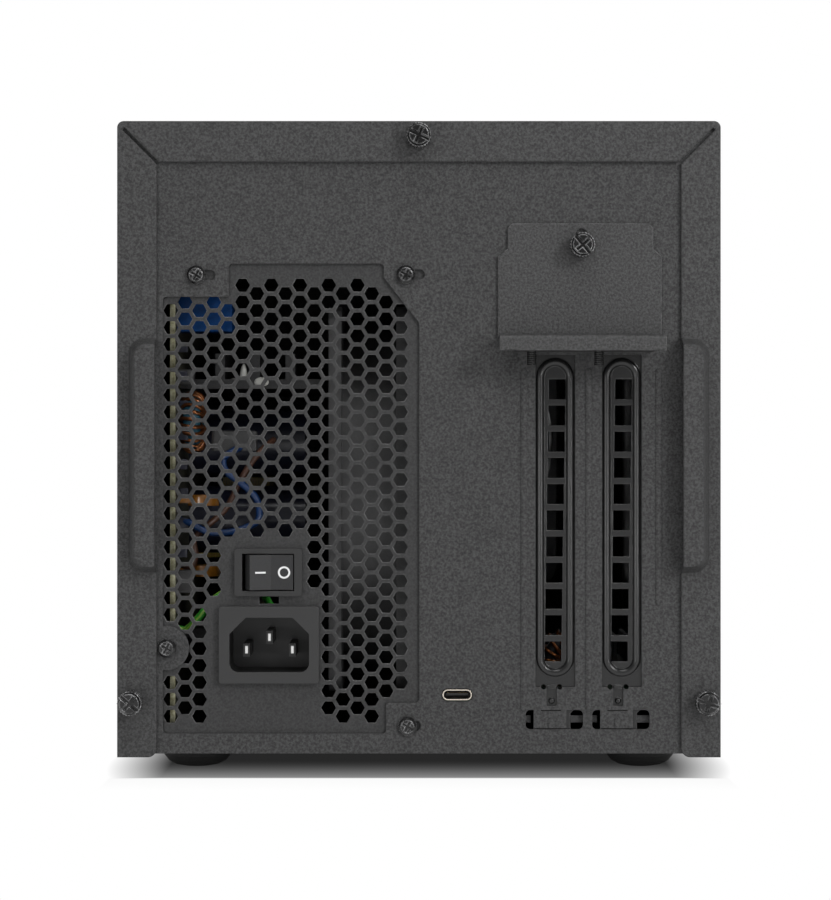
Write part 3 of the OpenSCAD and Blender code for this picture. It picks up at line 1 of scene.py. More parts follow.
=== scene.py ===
"""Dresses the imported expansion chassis: finishes for every sheet, moulding and board, the wound and
sleeved pieces inside it, and a plain white studio round it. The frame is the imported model's: +X
right seen from the rear, +Y towards the front, +Z up. Lengths are in metres, apart from those of
routes, drops and small blocks, which are in millimetres."""

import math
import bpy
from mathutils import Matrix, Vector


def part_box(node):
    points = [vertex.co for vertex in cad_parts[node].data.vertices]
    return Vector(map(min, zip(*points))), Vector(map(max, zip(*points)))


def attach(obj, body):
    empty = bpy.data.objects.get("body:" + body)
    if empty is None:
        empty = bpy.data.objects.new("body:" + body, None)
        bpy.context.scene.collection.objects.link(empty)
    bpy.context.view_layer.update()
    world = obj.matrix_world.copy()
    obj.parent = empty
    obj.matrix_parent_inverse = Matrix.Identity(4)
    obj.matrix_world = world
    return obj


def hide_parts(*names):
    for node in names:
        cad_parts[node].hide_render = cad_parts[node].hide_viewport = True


bl_info = {
    "name": "Expansion chassis dresser",
    "version": (1, 0, 0),
    "blender": (4, 5, 0),
    "location": "3D View > Sidebar > Chassis",
    "description": "Materials, windings, wires and studio for the expansion chassis",
    "category": "Add Mesh",
}

import bmesh
import bpy
import numpy as np
from mathutils import Vector

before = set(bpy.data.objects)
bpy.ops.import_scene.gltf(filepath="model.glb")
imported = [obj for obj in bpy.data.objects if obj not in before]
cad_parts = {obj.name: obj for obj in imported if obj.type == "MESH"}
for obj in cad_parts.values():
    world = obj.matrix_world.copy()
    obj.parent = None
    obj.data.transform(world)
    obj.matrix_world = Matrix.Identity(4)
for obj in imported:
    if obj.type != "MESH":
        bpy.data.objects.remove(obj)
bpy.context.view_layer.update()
MM = 0.001
WHITE = (1.0, 1.0, 1.0, 1.0)
TUBE_UV = "sleeve"

# Steps of the added surfaces: along each, and round its section
CORE_RINGS, CORE_SIDES = 48, 16
BEAD_RINGS, BEAD_SIDES = 12, 18
TURN_STEPS, WIRE_SIDES = 14, 8  # the first for one turn of wire
MARK_RINGS, MARK_SIDES = 48, 4

REAR_FACE = -0.163  # y of the rear flanges' face
PHOTO_MIDDLE = (-1.04 * MM, 101.7 * MM)  # x and z in the middle of the photograph
PHOTO_HEIGHT = 900 / 3.28 * MM  # its pixels, 3.28 to the millimetre on the rear face
SENSOR = 36  # the camera's, in millimetres
FLOOR_HALF = 8.0
LAMP_TARGET = (0, -0.16, 0.1)


# Settings


class ChassisColours(bpy.types.PropertyGroup):
    """Base colours of the finishes"""

    coat: bpy.props.FloatVectorProperty(
        name="Powder coat", description="Colour of the textured case paint", subtype="COLOR",
        size=3, min=0, max=1, default=(0.043, 0.043, 0.0435))
    casing: bpy.props.FloatVectorProperty(
        name="Supply casing", description="Colour of the power supply's paint", subtype="COLOR",
        size=3, min=0, max=1, default=(0.035, 0.035, 0.0355))
    blank: bpy.props.FloatVectorProperty(
        name="Slot blanks", description="Colour of the blanks' glossy paint", subtype="COLOR",
        size=3, min=0, max=1, default=(0.008, 0.008, 0.0082))
    plastic: bpy.props.FloatVectorProperty(
        name="Switch and inlet", description="Colour of the moulded mains parts", subtype="COLOR",
        size=3, min=0, max=1, default=(0.026, 0.026, 0.0265))
    mark: bpy.props.FloatVectorProperty(
        name="Printed marks", description="Colour of the marks on the rocker", subtype="COLOR",
        size=3, min=0, max=1, default=(0.82, 0.82, 0.82))
    wire: bpy.props.FloatVectorProperty(
        name="Earth wire", description="Colour of the earth wire's insulation", subtype="COLOR",
        size=3, min=0, max=1, default=(0.06, 0.5, 0.05))


class ChassisSizes(bpy.types.PropertyGroup):
    """Sizes of the pieces that this file adds"""

    choke_turns: bpy.props.IntProperty(
        name="Choke turns", description="Turns of wire on the supply's choke", min=8, max=40,
        default=22)
    coil_turns: bpy.props.IntProperty(
        name="Coil turns", description="Turns of wire on each coil of the board", min=8, max=30,
        default=15)
    winding_wire: bpy.props.FloatProperty(
        name="Winding wire", description="Radius of the wound wire", unit="LENGTH", min=0.0003,
        max=0.001, precision=5, default=0.00062)
    mark_rise: bpy.props.FloatProperty(
        name="Mark thickness", description="How far a printed mark stands off the rocker",
        unit="LENGTH", min=0.00002, max=0.0002, precision=5, default=0.00006)
    fillet: bpy.props.FloatProperty(
        name="Edge rounding", description="Shaded rounding along painted edges", unit="LENGTH",
        min=0.0001, max=0.001, precision=5, default=0.0003)


class ChassisStudio(bpy.types.PropertyGroup):
    """Camera, lamps and the light of the room"""

    distance: bpy.props.FloatProperty(
        name="Camera distance", description="From the lens to the rear flanges", unit="LENGTH",
        min=0.4, max=3, default=0.72)
    key_power: bpy.props.FloatProperty(
        name="Upper lamp", description="Power of the lamp at the upper right", unit="POWER",
        min=0, max=100, default=10.5)
    top_power: bpy.props.FloatProperty(
        name="Top lamp", description="Power of the wide lamp above and in front", unit="POWER",
        min=0, max=100, default=5)
    low_power: bpy.props.FloatProperty(
        name="Lower lamps", description="Power of each of the two low lamps in front", unit="POWER",
        min=0, max=100, default=2.5)
    room_light: bpy.props.FloatProperty(
        name="Room light", description="Strength of the even light from all sides", min=0, max=2,
        default=0.31)


def colours():
    return bpy.context.scene.chassis_colours


def sizes():
    return bpy.context.scene.chassis_sizes


# Shader building


class Shading:
    """Adds nodes to one node tree and links them"""

    def __init__(self, tree):
        self.tree = tree

    def add(self, kind, inputs=None, **settings):
        """A node of the kind, with its settings, and a value or a link for each named input"""
        made = self.tree.nodes.new("ShaderNode" + kind)
        for name, value in settings.items():
            setattr(made, name, value)
        for name, value in (inputs or {}).items():
            self.feed(made.inputs[name], value)
        return made

    def feed(self, socket, value):
        if isinstance(value, bpy.types.NodeSocket):
            self.tree.links.new(value, socket)
        else:
            socket.default_value = value

    def math(self, operation, a, b=0.0, clamp=False):
        return self.add("Math", {0: a, 1: b}, operation=operation, use_clamp=clamp).outputs[0]

    def plus(self, a, b):
        return self.math("ADD", a, b)

    def times(self, a, b):
        return self.math("MULTIPLY", a, b)

    def ramp(self, value, low, high, to_low=0.0, to_high=1.0):
        """value carried from low..high to to_low..to_high, held at the ends"""
        return self.add("MapRange", {"Value": value, "From Min": low, "From Max": high,
                                     "To Min": to_low, "To Max": to_high}).outputs["Result"]

    def mix(self, factor, a, b, blend="MIX"):
        """Colour a turned into colour b by the factor"""
        made = self.add("Mix", data_type="RGBA", blend_type=blend)
        for index, value in ((0, factor), (6, a), (7, b)):
            self.feed(made.inputs[index], value)
        return made.outputs[2]

    def object_point(self, stretch=(1.0, 1.0, 1.0)):
        point = self.add("TexCoord").outputs["Object"]
        if stretch == (1.0, 1.0, 1.0):
            return point
        return self.add("Mapping", {"Vector": point, "Scale": stretch}).outputs["Vector"]

    def axes(self):
        """X, Y and Z of the point in its object's frame, which is the model's"""
        return self.add("SeparateXYZ", {"Vector": self.object_point()}).outputs

    def tube_place(self):
        """How far round its tube the point is, and how far along"""
        uv = self.add("SeparateXYZ", {"Vector": self.add("UVMap", uv_map=TUBE_UV).outputs["UV"]})
        return uv.outputs["X"], uv.outputs["Y"]

    def noise(self, vector, scale, detail=2.0, roughness=0.5):
        return self.add("TexNoise", {"Vector": vector, "Scale": scale, "Detail": detail,
                                     "Roughness": roughness}).outputs["Fac"]


def shading_of(owner):
    """The emptied node tree of a material or of the world"""
    owner.use_nodes = True
    owner.node_tree.nodes.clear()
    return Shading(owner.node_tree)


def rgba(colour, factor=1.0):
    return (colour[0] * factor, colour[1] * factor, colour[2] * factor, 1.0)


def effect(name, wanted, given):
    """An empty node group with its named inputs and outputs, its shading, and its two ends"""
    tree = bpy.data.node_groups.new(name, "ShaderNodeTree")
    for label, default in wanted:
        made = tree.interface.new_socket(name=label, in_out="INPUT", socket_type="NodeSocketFloat")
        made.default_value = default
    for label, kind in given:
        tree.interface.new_socket(name=label, in_out="OUTPUT", socket_type=kind)
    return tree, Shading(tree), tree.nodes.new("NodeGroupInput"), tree.nodes.new("NodeGroupOutput")


def grain_effect():
    """Fine grain of sprayed or moulded skin. Height is two thirds of a noise at the grain's size
    and a third of one twice as fine; Fleck is the height's middle band, spread to 0 to 1."""
    tree, sh, given, out = effect("skin_grain", [("Size", 0.0004)],
                                  [("Height", "NodeSocketFloat"), ("Fleck", "NodeSocketFloat")])
    scale = sh.math("DIVIDE", 1.0, given.outputs["Size"])
    point = sh.object_point()
    coarse = sh.noise(point, scale, 1.0, 0.6)
    fine = sh.noise(point, sh.times(scale, 2.1), 1.0, 0.6)
    height = sh.plus(sh.times(coarse, 0.67), sh.times(fine, 0.33))
    sh.feed(out.inputs["Height"], height)
    sh.feed(out.inputs["Fleck"], sh.ramp(height, 0.36, 0.64))
    return tree


def edge_effect():
    """Rounded edges, abraded and with a painted highlight. Normal is the surface's own, turned near
    an edge as a fillet of the radius would turn it; the second output is how far it is turned,
    broken up by a patchy noise, and lightens the edge, partly as abrasion and partly as a painted
    highlight."""
    tree, sh, given, out = effect("rounded_edges", [("Radius", 0.0003), ("Amount", 0.4)],
                                  [("Normal", "NodeSocketVector"), ("Wear", "NodeSocketFloat")])
    turned = sh.add("Bevel", {"Radius": given.outputs["Radius"]}, samples=4).outputs["Normal"]
    flat = sh.add("NewGeometry").outputs["Normal"]
    along = sh.add("VectorMath", {0: turned, 1: flat}, operation="DOT_PRODUCT").outputs["Value"]
    edge = sh.ramp(along, 0.98, 0.72)
    patchy = sh.ramp(sh.noise(sh.object_point(), 320.0, 3.0, 0.65), 0.38, 0.62)
    worn_and_lit = sh.times(sh.times(edge, patchy), given.outputs["Amount"])
    sh.feed(out.inputs["Normal"], turned)
    sh.feed(out.inputs["Wear"], worn_and_lit)
    return tree


def film_effect():
    """Slow unevenness of a film, from handling and dust: a noise with wide patches, 0 to 1."""
    tree, sh, given, out = effect("handled_film", [("Patch", 0.03)], [("Film", "NodeSocketFloat")])
    scale = sh.math("DIVIDE", 1.0, given.outputs["Patch"])
    sh.feed(out.inputs["Film"], sh.ramp(sh.noise(sh.object_point(), scale, 4.0, 0.6), 0.3, 0.7))
    return tree


def brushed_effect():
    """Drawn lines of bar and sheet: a noise stretched 60 to 1, along Y or along Z by Upright."""
    tree, sh, given, out = effect("drawn_lines", [("Upright", 0.0)],
                                  [("Lines", "NodeSocketFloat")])
    level = sh.noise(sh.object_point((1.0, 0.016, 1.0)), 6000.0, 2.0, 0.6)
    upright = sh.noise(sh.object_point((1.0, 1.0, 0.016)), 6000.0, 2.0, 0.6)
    share = given.outputs["Upright"]
    low = sh.times(level, sh.math("SUBTRACT", 1.0, share))
    sh.feed(out.inputs["Lines"], sh.plus(low, sh.times(upright, share)))
    return tree


EFFECTS = {}


def use(sh, name, **inputs):
    """The shared effect, placed in a material with its own values"""
    made = sh.add("Group")
    made.node_tree = EFFECTS[name]
    for label, value in inputs.items():
        sh.feed(made.inputs[label], value)
    return made


def skin(name, colour, rough, metal=0.0, grain=0.0006, bump=0.3, depth=0.00003, fleck=0.12,
         fillet=0.0001, wear_and_highlight=0.2, bare=(0.35, 0.35, 0.36), film=0.03, uneven=0.12, lines=None,
         coat=0.0, specular=0.5, pattern=None, backing=None):
    """One finish. Its colour is moved by the grain's flecks and by the film, which is the colour
    itself or the backing, lightened, and gives way to the bare one along the edges, partly as
    abrasion and partly as a painted edge highlight. Its roughness is moved by the film. Its normal
    comes from the rounded edges and the grain or, where lines says how upright they are, drawn lines.
    pattern, where given, takes the shading, the colour and the height, and returns a new colour and
    height."""
    made = bpy.data.materials.new(name)
    sh = shading_of(made)
    out = sh.add("OutputMaterial")
    body = sh.add("BsdfPrincipled", {"Metallic": metal, "Coat Weight": coat, "Coat Roughness": 0.12,
                                     "Specular IOR Level": specular})
    sh.feed(out.inputs["Surface"], body.outputs["BSDF"])
    skin_grain = use(sh, "grain", Size=grain)
    edges = use(sh, "edges", Radius=fillet, Amount=wear_and_highlight)
    handled = use(sh, "film", Patch=film).outputs["Film"]
    tone = sh.mix(skin_grain.outputs["Fleck"], rgba(colour, 1 - fleck), rgba(colour, 1 + fleck))
    height = skin_grain.outputs["Height"]
    if lines is not None:
        drawn = use(sh, "brushed", Upright=lines)
        height = sh.plus(sh.times(height, 0.3), drawn.outputs["Lines"])
    if pattern is not None:
        tone, height = pattern(sh, tone, height)
    tone = sh.mix(sh.times(handled, uneven), tone, rgba(backing or colour, 1.6))
    # Edges lightened towards the bare colour: partly real abrasion, partly a painted highlight
    tone = sh.mix(edges.outputs["Wear"], tone, rgba(bare))
    raised = sh.add("Bump", {"Strength": bump, "Distance": depth, "Height": height,
                             "Normal": edges.outputs["Normal"]})
    sh.feed(body.inputs["Base Color"], tone)
    sh.feed(body.inputs["Roughness"],
            sh.ramp(handled, 0.0, 1.0, rough - uneven / 2, rough + uneven / 2))
    sh.feed(body.inputs["Normal"], raised.outputs["Normal"])
    return made


def traces(sh, tone, height):
    """Solder mask over copper: lines of square cells where the mask lies higher and paler, and
    round pads of bare gold."""
    point = sh.object_point()
    cells = sh.add("TexVoronoi", {"Vector": point, "Scale": 260.0, "Randomness": 0.85},
                   distance="CHEBYCHEV", feature="F1")
    run = sh.math("PINGPONG", sh.times(cells.outputs["Distance"], 7.0), 1.0)
    track = sh.ramp(run, 0.55, 0.7)
    pads = sh.add("TexVoronoi", {"Vector": point, "Scale": 330.0, "Randomness": 0.6}, feature="F1")
    pad = sh.ramp(pads.outputs["Distance"], 0.2, 0.16)
    tone = sh.mix(sh.times(track, 0.5), tone, (0.05, 0.22, 0.1, 1.0))
    tone = sh.mix(pad, tone, (0.62, 0.5, 0.26, 1.0))
    return tone, sh.plus(sh.times(track, 0.8), pad)


def fibres(sh, tone, height):
    """Pressed paper board: short fibres seen as a noise stretched both ways, pale where it is sawn
    at the rear edge, and darkened from 0.4 to 1.2 mm behind it by painted shade of the supply's
    inside."""
    across = sh.noise(sh.object_point((1.0, 0.12, 1.0)), 900.0, 3.0, 0.7)
    along = sh.noise(sh.object_point((1.0, 1.0, 0.12)), 900.0, 3.0, 0.7)
    weave = sh.times(sh.plus(across, along), 0.5)
    tone = sh.mix(sh.ramp(weave, 0.4, 0.6), tone, (0.36, 0.34, 0.22, 1.0), "MULTIPLY")
    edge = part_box("psu_board")[0][1]
    # Painted shade of the supply's inside, coming on from 0.4 to 1.2 mm behind the sawn edge
    painted_shade_inside = sh.ramp(sh.axes()["Y"], edge + 0.0004, edge + 0.0012)
    return sh.mix(painted_shade_inside, tone, (0.02, 0.02, 0.014, 1.0)), weave


def tape_turns(sh, tone, height):
    """Layers of tape round a bobbin: a step every 0.9 mm along X, dark at its end."""
    step = sh.math("FRACT", sh.times(sh.axes()["X"], 1100.0))
    tone = sh.mix(sh.ramp(step, 0.86, 1.0), tone, (0.3, 0.2, 0.04, 1.0))
    return tone, step


def braid(sh, tone, height):
    """Braided sleeve on the tube's own UV: two crossed families of nine ribs, the height being the
    larger of their two sines, and painted shade darkening the gaps between ribs."""
    around, along = sh.tube_place()
    ribs = 2 * math.pi * 9
    left = sh.math("SINE", sh.times(sh.plus(around, along), ribs))
    right = sh.math("SINE", sh.times(sh.math("SUBTRACT", around, along), ribs))
    rib = sh.ramp(sh.math("MAXIMUM", left, right), -0.2, 1.0)
    # Painted shade in the gaps between the ribs
    tone = sh.mix(rib, rgba((0.006, 0.006, 0.006)), tone)
    return tone, rib


def wire_stripe(sh, tone, height):
    """Insulation with a paler stripe that winds slowly round the tube, on its own UV."""
    around, along = sh.tube_place()
    turn = sh.math("FRACT", sh.plus(around, sh.times(along, 0.12)))
    tone = sh.mix(sh.ramp(turn, 0.8, 0.84), tone, (0.42, 0.78, 0.1, 1.0))
    return tone, height


def enamel(sh, tone, height):
    """Enamelled wire: amber film that darkens at random along the turns."""
    dark = sh.ramp(sh.noise(sh.object_point(), 700.0, 3.0, 0.6), 0.35, 0.7)
    return sh.mix(dark, tone, (0.32, 0.1, 0.03, 1.0)), height


def thread_lines(sh, tone, height):
    """A screw's thread as rings: a rounded ridge every 0.6 mm up the screw, with painted shade in its
    roots.
    """
    turns = sh.times(sh.axes()["Z"], 2 * math.pi / 0.0006)
    crest_light = sh.ramp(sh.math("SINE", turns), -1.0, 1.0)
    # Painted shade in the thread's roots
    return sh.mix(crest_light, rgba((0.01, 0.01, 0.01)), tone), crest_light


def pin_end_highlight(sh, tone, height):
    """A pin's end with a painted highlight: a bright line 0.8 mm wide and 2.2 mm high at its middle.
    The pins stand 7 mm apart, and the middle one is 3.8 mm higher than its neighbours. The highlight
    is how near a point is to the nearest pin across, times how near it is to that one's middle in
    height."""
    middle_x, pitch, outer_z, step = -0.04565, 0.007, 0.0407, 0.0038
    at = sh.axes()
    from_pin = sh.plus(at["X"], 10.5 * pitch - middle_x)
    turn = sh.math("FRACT", sh.math("DIVIDE", from_pin, pitch))
    across = sh.ramp(sh.math("ABSOLUTE", sh.math("SUBTRACT", turn, 0.5)), 0.07, 0.045)
    middle = sh.math("LESS_THAN", sh.math("ABSOLUTE", sh.plus(at["X"], -middle_x)), 0.003)
    level = sh.plus(sh.times(middle, step), outer_z)
    off_level = sh.math("ABSOLUTE", sh.math("SUBTRACT", at["Z"], level))
    crest_light = sh.times(across, sh.ramp(off_level, 0.00125, 0.00095))
    # Painted highlight along each pin's end
    return sh.mix(crest_light, tone, (0.8, 0.8, 0.79, 1.0)), crest_light


def recess_shade(sh, tone, height):
    """Moulding with a recess: the skin is as given on its flange and darkens inwards, from 0.5 mm
    before the rear face to 2.5 mm behind it."""
    inside = sh.ramp(sh.axes()["Y"], REAR_FACE - 0.0005, REAR_FACE + 0.0025)
    return sh.mix(inside, tone, (0.006, 0.006, 0.006, 1.0)), height


def make_finishes():
    """Every material, by the name that NODE_FINISH and the added pieces use"""
    c = colours()
    fillet = sizes().fillet
    return {
        "coat": skin("textured_powder_coat", c.coat, 0.6, grain=0.00075, bump=0.7, depth=0.0002,
                     fleck=0.5, fillet=fillet, wear_and_highlight=0.1, bare=(0.13, 0.13, 0.13), uneven=0.02,
                     specular=0.3),
        # The retainer's copy of the coat: its light edges are partly abrasion, partly a painted
        # highlight
        "edged_coat": skin("retainer_powder_coat", c.coat, 0.56, grain=0.00075, bump=0.7,
                           depth=0.0002, fleck=0.5, fillet=0.0006, wear_and_highlight=0.6,
                           bare=(0.28, 0.28, 0.28), uneven=0.02, specular=0.4),
        "cover_coat": skin("cover_powder_coat", c.coat, 0.6, grain=0.00075, bump=0.7, depth=0.0002,
                           fleck=0.5, fillet=3 * fillet, wear_and_highlight=0.05, bare=(0.13, 0.13, 0.13),
                           uneven=0.02, specular=0.35),
        # Light rims of the casing: partly abrasion, partly a painted highlight
        "casing": skin("supply_paint", c.casing, 0.56, grain=0.0007, bump=0.5, depth=0.00015,
                       fleck=0.3, fillet=0.0005, wear_and_highlight=1.0, bare=(0.26, 0.26, 0.26), uneven=0.05,
                       specular=0.3),
        # Light edges of the blanks and their squares: partly abrasion, mostly a painted highlight
        "blank": skin("blank_gloss_paint", c.blank, 0.24, grain=0.0012, bump=0.12, depth=0.00004,
                      fleck=0.1, fillet=0.0005, wear_and_highlight=0.8, bare=(0.16, 0.16, 0.16), uneven=0.06),
        "black_nickel": skin("black_nickel_screws", (0.006, 0.006, 0.0062), 0.2, metal=0.1,
                             grain=0.0005, bump=0.06, fleck=0.15, fillet=0.0006, wear_and_highlight=1.0,
                             bare=(0.75, 0.75, 0.76), film=0.004, uneven=0.05),
        "thread": skin("slot_screw_steel", (0.07, 0.07, 0.07), 0.42, metal=0.6, grain=0.0008,
                       bump=0.9, depth=0.0003, fleck=0.2, bare=(0.2, 0.2, 0.2), uneven=0.08,
                       pattern=thread_lines),
        "pin": skin("pin_plate", (0.03, 0.03, 0.03), 0.3, metal=0.8, grain=0.0008, bump=0.15,
                    depth=0.00004, fleck=0.1, wear_and_highlight=0.25, bare=(0.6, 0.6, 0.6), film=0.004,
                    uneven=0.1, pattern=pin_end_highlight),
        "anodised": skin("dark_anodised_fins", (0.03, 0.03, 0.031), 0.42, metal=0.4, fillet=0.0002,
                         wear_and_highlight=0.3, bare=(0.2, 0.2, 0.2), uneven=0.14, lines=0.0),
        "bright": skin("nickel_plate", (0.62, 0.61, 0.58), 0.24, metal=1.0, grain=0.0008, bump=0.15,
                       depth=0.00004, fleck=0.1, wear_and_highlight=0.3, bare=(0.85, 0.84, 0.82), film=0.004,
                       uneven=0.14),
        "port": skin("port_shell_plate", (0.66, 0.6, 0.52), 0.26, metal=1.0, bump=0.12, fleck=0.08,
                     fillet=0.00006, wear_and_highlight=0.3, bare=(0.9, 0.84, 0.76), film=0.003, uneven=0.1),
        "rubber": skin("foot_rubber", (0.016, 0.016, 0.016), 0.72, grain=0.0007, bump=0.4,
                       depth=0.00008, fleck=0.2, fillet=0.0005, wear_and_highlight=0.25, bare=(0.05, 0.05, 0.05),
                       backing=(0.06, 0.06, 0.058)),
        "moulded": skin("mains_moulding", c.plastic, 0.42, grain=0.0005, bump=0.14, depth=0.00005,
                        fleck=0.06, fillet=0.00025, bare=(0.11, 0.11, 0.11), uneven=0.1,
                        pattern=recess_shade),
        "rocker": skin("rocker_moulding", (0.034, 0.034, 0.035), 0.5, grain=0.0005, bump=0.1,
                       depth=0.00004, fleck=0.05, fillet=0.0003, bare=(0.12, 0.12, 0.12),
                       uneven=0.1, specular=0.2),
        "dark_plastic": skin("connector_plastic", (0.018, 0.018, 0.019), 0.38, bump=0.15,
                             depth=0.00005, fleck=0.1, fillet=0.0002, bare=(0.07, 0.07, 0.07)),
        "fan_grey": skin("fan_moulding_grey", (0.05, 0.05, 0.051), 0.5, bump=0.25, depth=0.00006,
                         fillet=0.0004, wear_and_highlight=0.15, bare=(0.16, 0.16, 0.16)),
        "fan_black": skin("fan_moulding_black", (0.022, 0.022, 0.023), 0.46, bump=0.25,
                          depth=0.00006, fillet=0.0004, wear_and_highlight=0.15, bare=(0.06, 0.06, 0.06)),
        "board": skin("green_circuit_board", (0.018, 0.12, 0.055), 0.32, grain=0.0012, bump=0.35,
                      depth=0.00005, fleck=0.1, bare=(0.5, 0.5, 0.3), uneven=0.1, coat=0.3,
                      pattern=traces),
        "tan": skin("pressed_board", (0.4, 0.39, 0.27), 0.6, grain=0.0007, depth=0.00005, wear_and_highlight=0.1,
                    bare=(0.7, 0.66, 0.5), uneven=0.08, pattern=fibres),
        "aluminium": skin("drawn_aluminium", (0.28, 0.28, 0.285), 0.45, metal=1.0, fleck=0.08,
                          fillet=0.0002, wear_and_highlight=0.3, bare=(0.8, 0.8, 0.8), uneven=0.14, lines=0.0),
        "can": skin("capacitor_can", (0.6, 0.6, 0.61), 0.3, metal=1.0, bump=0.2, fleck=0.06,
                    fillet=0.0004, bare=(0.85, 0.85, 0.85), uneven=0.1, lines=1.0),
        "copper": skin("enamelled_copper", (0.26, 0.095, 0.03), 0.3, metal=0.85, grain=0.0008,
                       bump=0.1, wear_and_highlight=0.1, bare=(0.9, 0.55, 0.3), film=0.004, coat=0.5,
                       pattern=enamel),
        "core": skin("painted_core", (0.008, 0.07, 0.11), 0.5, grain=0.0004, bump=0.35,
                     depth=0.00006, fleck=0.2, fillet=0.0003, wear_and_highlight=0.3, bare=(0.1, 0.12, 0.12),
                     uneven=0.08),
        "film_blue": skin("dipped_film_blue", (0.001, 0.04, 0.16), 0.36, grain=0.0016, depth=0.0001,
                          fillet=0.0008, wear_and_highlight=0.12, bare=(0.12, 0.2, 0.4), film=0.006, coat=0.1,
                          specular=0.15),
        "disc_orange": skin("dipped_ceramic_orange", (0.26, 0.1, 0.008), 0.34, grain=0.0014,
                            depth=0.0001, fleck=0.14, fillet=0.0008, wear_and_highlight=0.1, bare=(0.9, 0.6, 0.3),
                            film=0.005, coat=0.4),
        "can_sleeve": skin("capacitor_sleeve", (0.012, 0.014, 0.03), 0.3, grain=0.0014, bump=0.12,
                           depth=0.00005, fleck=0.1, fillet=0.0006, bare=(0.3, 0.3, 0.34),
                           uneven=0.08, coat=0.4),
        "tape": skin("bobbin_tape", (0.72, 0.55, 0.1), 0.34, grain=0.0012, bump=0.35, depth=0.00008,
                     fleck=0.08, fillet=0.0004, wear_and_highlight=0.1, bare=(0.85, 0.75, 0.4), uneven=0.08,
                     coat=0.3, pattern=tape_turns),
        "brass": skin("brass_posts", (0.72, 0.52, 0.22), 0.3, metal=1.0, grain=0.0008, bump=0.2,
                      fleck=0.08, bare=(0.9, 0.75, 0.4), lines=1.0),
        "white": skin("latch_moulding", (0.66, 0.66, 0.63), 0.45, grain=0.0007, bump=0.2,
                      depth=0.00005, fleck=0.05, fillet=0.0003, wear_and_highlight=0.1, bare=(0.8, 0.8, 0.78),
                      uneven=0.1),
        "printed": skin("printed_mark", c.mark, 0.5, grain=0.0003, bump=0.2, fleck=0.05,
                        fillet=0.00003, wear_and_highlight=0.0, uneven=0.06),
        "sleeve": skin("braided_sleeve", (0.03, 0.03, 0.031), 0.5, grain=0.0005, bump=0.8,
                       depth=0.0003, fleck=0.1, wear_and_highlight=0.0, uneven=0.08, pattern=braid),
        "earth": skin("earth_insulation", c.wire, 0.3, grain=0.0012, bump=0.08, depth=0.00004,
                      fleck=0.05, wear_and_highlight=0.0, uneven=0.08, coat=0.3, pattern=wire_stripe),
        "blue_wire": skin("blue_insulation", (0.005, 0.035, 0.13), 0.38, grain=0.0012, bump=0.1,
                          depth=0.00004, fleck=0.08, wear_and_highlight=0.0, uneven=0.08, coat=0.3),
        "brown_wire": skin("brown_insulation", (0.085, 0.038, 0.024), 0.45, grain=0.0012, bump=0.1,
                           depth=0.00004, fleck=0.1, wear_and_highlight=0.0, uneven=0.08, coat=0.2),
        "glue": skin("silicone_glue", (0.5, 0.5, 0.47), 0.4, grain=0.002, bump=0.4, depth=0.0002,
                     fleck=0.06, fillet=0.0003, wear_and_highlight=0.0),
        "gold": skin("gold_contacts", (0.85, 0.62, 0.26), 0.25, metal=1.0, grain=0.0008, bump=0.1,
                     fleck=0.06, fillet=0.00005, wear_and_highlight=0.0, uneven=0.1),
    }


NODE_FINISH = {
    "coat": ["rear_panel", "base_pan", "front_frame", "front_bezel", "front_grille",
             "bracket_guide"],
    "cover_coat": ["cover"],
    "edged_coat": ["slot_retainer"],
    "casing": ["psu_base", "psu_cover"],
    "blank": ["slot_blank_left", "slot_blank_right"],
    "black_nickel": ["thumbscrew_top", "thumbscrew_left", "thumbscrew_right", "retainer_thumbscrew",
                     "frame_screws", "psu_mount_screws", "front_fan_screws"],
    "bright": ["foot_screws", "psu_lid_screws", "psu_fan_guard", "psu_fan_screws", "board_screws"],
    "thread": ["slot_screws"],
    "pin": ["inlet_pins"],
    "port": ["usb_c_shell"],
    "rubber": ["foot_rear_left", "foot_rear_right", "foot_front_left", "foot_front_right",
               "psu_grommet"],
    "moulded": ["inlet_housing", "switch_housing"],
    "rocker": ["switch_rocker"],
    "dark_plastic": ["usb_c_tongue", "pcie_slot", "board_chips", "power_socket", "power_plug"],
    "fan_grey": ["psu_fan_frame"],
    "fan_black": ["psu_fan_rotor", "front_fan_frame", "front_fan_rotor"],
    "board": ["controller_board"],
    "tan": ["psu_board"],
    "anodised": ["psu_heatsinks"],
    "aluminium": ["board_heatsink"],
    "can": ["board_capacitors"],
    "can_sleeve": ["psu_bulk_capacitors"],
    "film_blue": ["psu_filter_capacitor"],
    "disc_orange": ["psu_disc_capacitors"],
    "tape": ["psu_transformer"],
    "brass": ["board_standoffs"],
    "white": ["slot_latch", "status_light"],
}

FINISHES = {}


def finish_of(name):
    if name not in FINISHES:
        raise RuntimeError("the finishes are made first")
    return FINISHES[name]


# Surfaces from numpy


def smooth_route(points, per_leg):
    """Points along a Catmull-Rom curve: for each leg between b and c, with a before and d after,
    half of (2b + (c-a)t + (2a-5b+4c-d)t^2 + (3b-a-3c+d)t^3), t from 0 to 1 in per_leg steps."""
    p = np.asarray(points, float) * MM
    p = np.vstack([2 * p[:1] - p[1:2], p, 2 * p[-1:] - p[-2:-1]])
    a, b, c, d = p[:-3, None], p[1:-2, None], p[2:-1, None], p[3:, None]
    t = (np.arange(per_leg) / per_leg)[None, :, None]
    run = 0.5 * (2 * b + (c - a) * t + (2 * a - 5 * b + 4 * c - d) * t**2
                 + (3 * b - a - 3 * c + d) * t**3)
    return np.vstack([run.reshape(-1, 3), p[-2:-1]])


def unit(v):
    return v / np.linalg.norm(v, axis=-1, keepdims=True)


